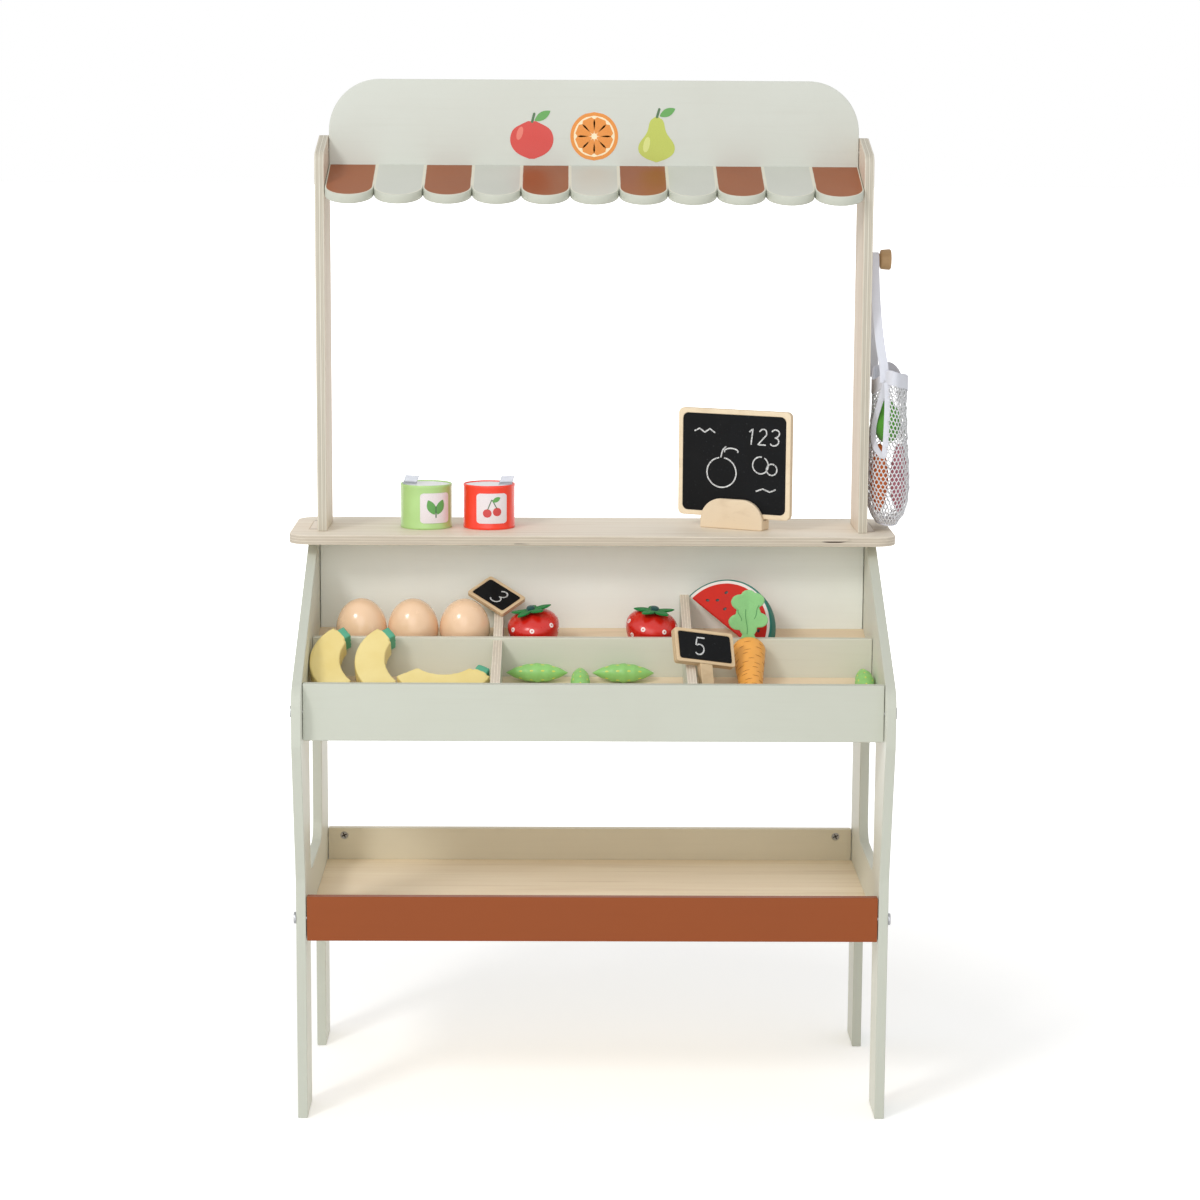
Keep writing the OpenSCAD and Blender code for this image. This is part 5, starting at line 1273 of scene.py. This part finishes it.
# Hook: a turned peg with a rounded head
HOOK_X, HOOK_Y, HOOK_Z = 290.0, 229.5, 866.0
HOOK_STEM_R, HOOK_STEM_L, HOOK_HEAD_R, HOOK_HEAD_L = 6.0, 12.0, 11.0, 12.0
HOOK_PEG_R, HOOK_PEG_L, HOOK_NECK = 4.0, 7.0, 1.5
hook_end = HOOK_STEM_L + HOOK_HEAD_L
hook_profile = [(0.0, -HOOK_PEG_L), (HOOK_PEG_R, -HOOK_PEG_L), (HOOK_PEG_R, 0.0), (HOOK_STEM_R, 0.0),
                (HOOK_STEM_R, HOOK_STEM_L - HOOK_NECK)]
hook_profile += [(HOOK_STEM_R + HOOK_NECK - HOOK_NECK * cos(a), HOOK_STEM_L - HOOK_NECK + HOOK_NECK * sin(a))
                 for a in range(15, 91, 15)]
hook_profile += [(HOOK_HEAD_R - 2.4 + 1.8 * sin(a), HOOK_STEM_L + 1.8 - 1.8 * cos(a))
                 for a in range(0, 91, 15)]
hook_profile += [(HOOK_HEAD_R - 2.0 + 2.0 * cos(a), hook_end - 2.6 + 2.0 * sin(a)) for a in range(0, 91, 15)]
hook_profile += [(5.0, hook_end - 0.2), (0.0, hook_end)]
hook_look = board("hook_wood", 0, rgb(178, 146, 106))
piece("bag_hook_turned", lathe(hook_profile, 48), hook_look, "stall", "plywood", ["bag_hook"],
      move(HOOK_X, HOOK_Y, HOOK_Z) @ turn(90, "Y"))

# Strap: from the front of the hem over the hook's stem to the back of the hem
STRAP_X, STRAP_R, STRAP_Y, STRAP_U, STRAP_V, STRAP_W, STRAP_STEPS = 295.6, 7.05, 56.8, 0.655, 0.93, 9.6, 14
strap_run = Vector((STRAP_Y, HOOK_Z - (BAG_LOW + BAG_H)))
strap_lean = math.degrees(math.atan2(*strap_run) - math.asin(STRAP_R / strap_run.length))


def over_hook(side, a):
    return Vector((STRAP_X, HOOK_Y + side * STRAP_R * cos(a), HOOK_Z + STRAP_R * sin(a)))


def strap_half(side):
    """From the hem up to the top of the hook, on the front (-1) or back (1)."""
    foot = bag_point(STRAP_U if side < 0 else 1 - STRAP_U, STRAP_V, 1.7)
    head = over_hook(side, strap_lean)
    half = []
    for i in range(STRAP_STEPS + 1):
        s = i / STRAP_STEPS
        ahead = max(0.0, s * 1.12 - 0.12)
        eased = 1 - (1 - ahead) ** 2.6
        half.append(Vector((foot.x + (head.x - foot.x) * eased, foot.y + (head.y - foot.y) * ahead,
                            foot.z + (head.z - foot.z) * s)))
    return half + [over_hook(side, a) for a in np.linspace(strap_lean, 90, 10)[1:]]


strap_path = strap_half(-1) + strap_half(1)[-2::-1]
strap_band = ribbon(strap_path, [X] * len(strap_path), STRAP_W, TAPE_T)
strap = make("_strap_tape", strap_band, tape_look, "white_tape", ["bag_strap"])
strap_length = sum((b - a).length for a, b in zip(strap_path, strap_path[1:])) * MM

# Soft fruit in the bag: its thickness, its colour, its slot and how far it lies aside
FRUITS = (("green", 30, rgb(84, 160, 48), "apple_felt", -3),
          ("orange", 21, rgb(214, 108, 40), "orange_felt", -1.6),
          ("mauve", 21, rgb(182, 112, 126), "mauve_felt", 1.6))
FRUIT_STEPS = 40


def fruit_mesh(low, high, d):
    """A stuffed felt fruit: a plump capsule with five pleats."""
    profile = [(0.0, low)]
    for i in range(1, FRUIT_STEPS):
        s = i / FRUIT_STEPS
        profile.append((d / 2 * math.sin(math.pi * s) ** 0.55 * (1 - 0.1 * s), low + (high - low) * s))
    points, faces = lathe(profile + [(0.0, high)], 36)
    pleated = []
    for x, y, z in points:
        pleat = 1 + 0.03 * math.cos(5 * math.atan2(y, x)) * math.sin(math.pi * (z - low) / (high - low))
        pleated.append((x * pleat, y * pleat, z))
    return pleated, faces


for kind, d, colour, slot, aside in FRUITS:
    node = "bag_fruit_" + kind
    name = node + "_felt"
    lows, highs = (Vector(c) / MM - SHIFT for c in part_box(node))
    mesh = fruit_mesh(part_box(node)[0].z / MM + 0.2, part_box(node)[1].z / MM - 0.2, d)
    where = move((lows.x + highs.x) / 2 + aside, (lows.y + highs.y) / 2, 0)
    made = piece(name, mesh, felt(name + "_look", colour), "bag", slot, [node], where)

# Light, floor and world
LIGHTS = {
    "key": ((-1.9, -2.6, 2.7), 0.9, 40.0),
    "front": ((-0.3, -3.3, 1.7), 2.4, 21.0),
}
LIGHT_AIM = Vector((0, 0, 0.55))
WORLD_LEVEL = 0.67
FLOOR_LIFT, FLOOR_NEAR, FLOOR_FAR = 0.28, 0.5, 2.2
WHITE = (1, 1, 1, 1)
for name, (place, size, power) in LIGHTS.items():
    lamp = add(name, tuned(bpy.data.lights.new(name, "AREA"), shape="DISK", size=size, energy=power))
    lamp.location = place
    lamp.rotation_euler = (LIGHT_AIM - Vector(place)).to_track_quat("-Z", "Y").to_euler()


def seen_directly(tree):
    """1 for rays that see the background itself, or show it in metal and glass."""
    rays = tree.nodes.new("ShaderNodeLightPath")
    share = rays.outputs["Is Camera Ray"]
    for ray in ("Is Glossy Ray", "Is Transmission Ray"):
        either = tuned(tree.nodes.new("ShaderNodeMath"), operation="MAXIMUM")
        tree.links.new(share, either.inputs[0])
        tree.links.new(rays.outputs[ray], either.inputs[1])
        share = either.outputs[0]
    return share


world = tuned(bpy.data.worlds.new("studio"), use_nodes=True)
bpy.context.scene.world = world
sky = world.node_tree
level = sky.nodes.new("ShaderNodeMapRange")
sky.links.new(seen_directly(sky), level.inputs["Value"])
level.inputs["To Min"].default_value = WORLD_LEVEL
level.inputs["To Max"].default_value = 1.0
background = sky.nodes["Background"]
background.inputs["Color"].default_value = WHITE
sky.links.new(level.outputs["Result"], background.inputs["Strength"])


def floor_look():
    """White studio floor: the camera sees it lifted to white, with the object's shadow kept."""
    look = Look("floor_paper")
    tone = look.noise(3.0)
    made = look.blend(tone, rgb(246, 246, 245), rgb(249, 249, 249))
    lift = look.remap(look.vector("LENGTH", look.p), FLOOR_NEAR, FLOOR_FAR, FLOOR_LIFT, 1.0)
    seen = look.math("MULTIPLY", lift, seen_directly(look.tree))
    look.fill(look.bsdf, Emission_Color=WHITE, Emission_Strength=seen)
    return look.done(made, look.level(tone, 0.85, 0.95))


floor_data = bpy.data.meshes.new("floor")
floor_data.from_pydata([(-30, -12, 0), (30, -12, 0), (30, 40, 0), (-30, 40, 0)], [], [(0, 1, 2, 3)])
floor_data.materials.append(floor_look())
floor = add("floor", floor_data)
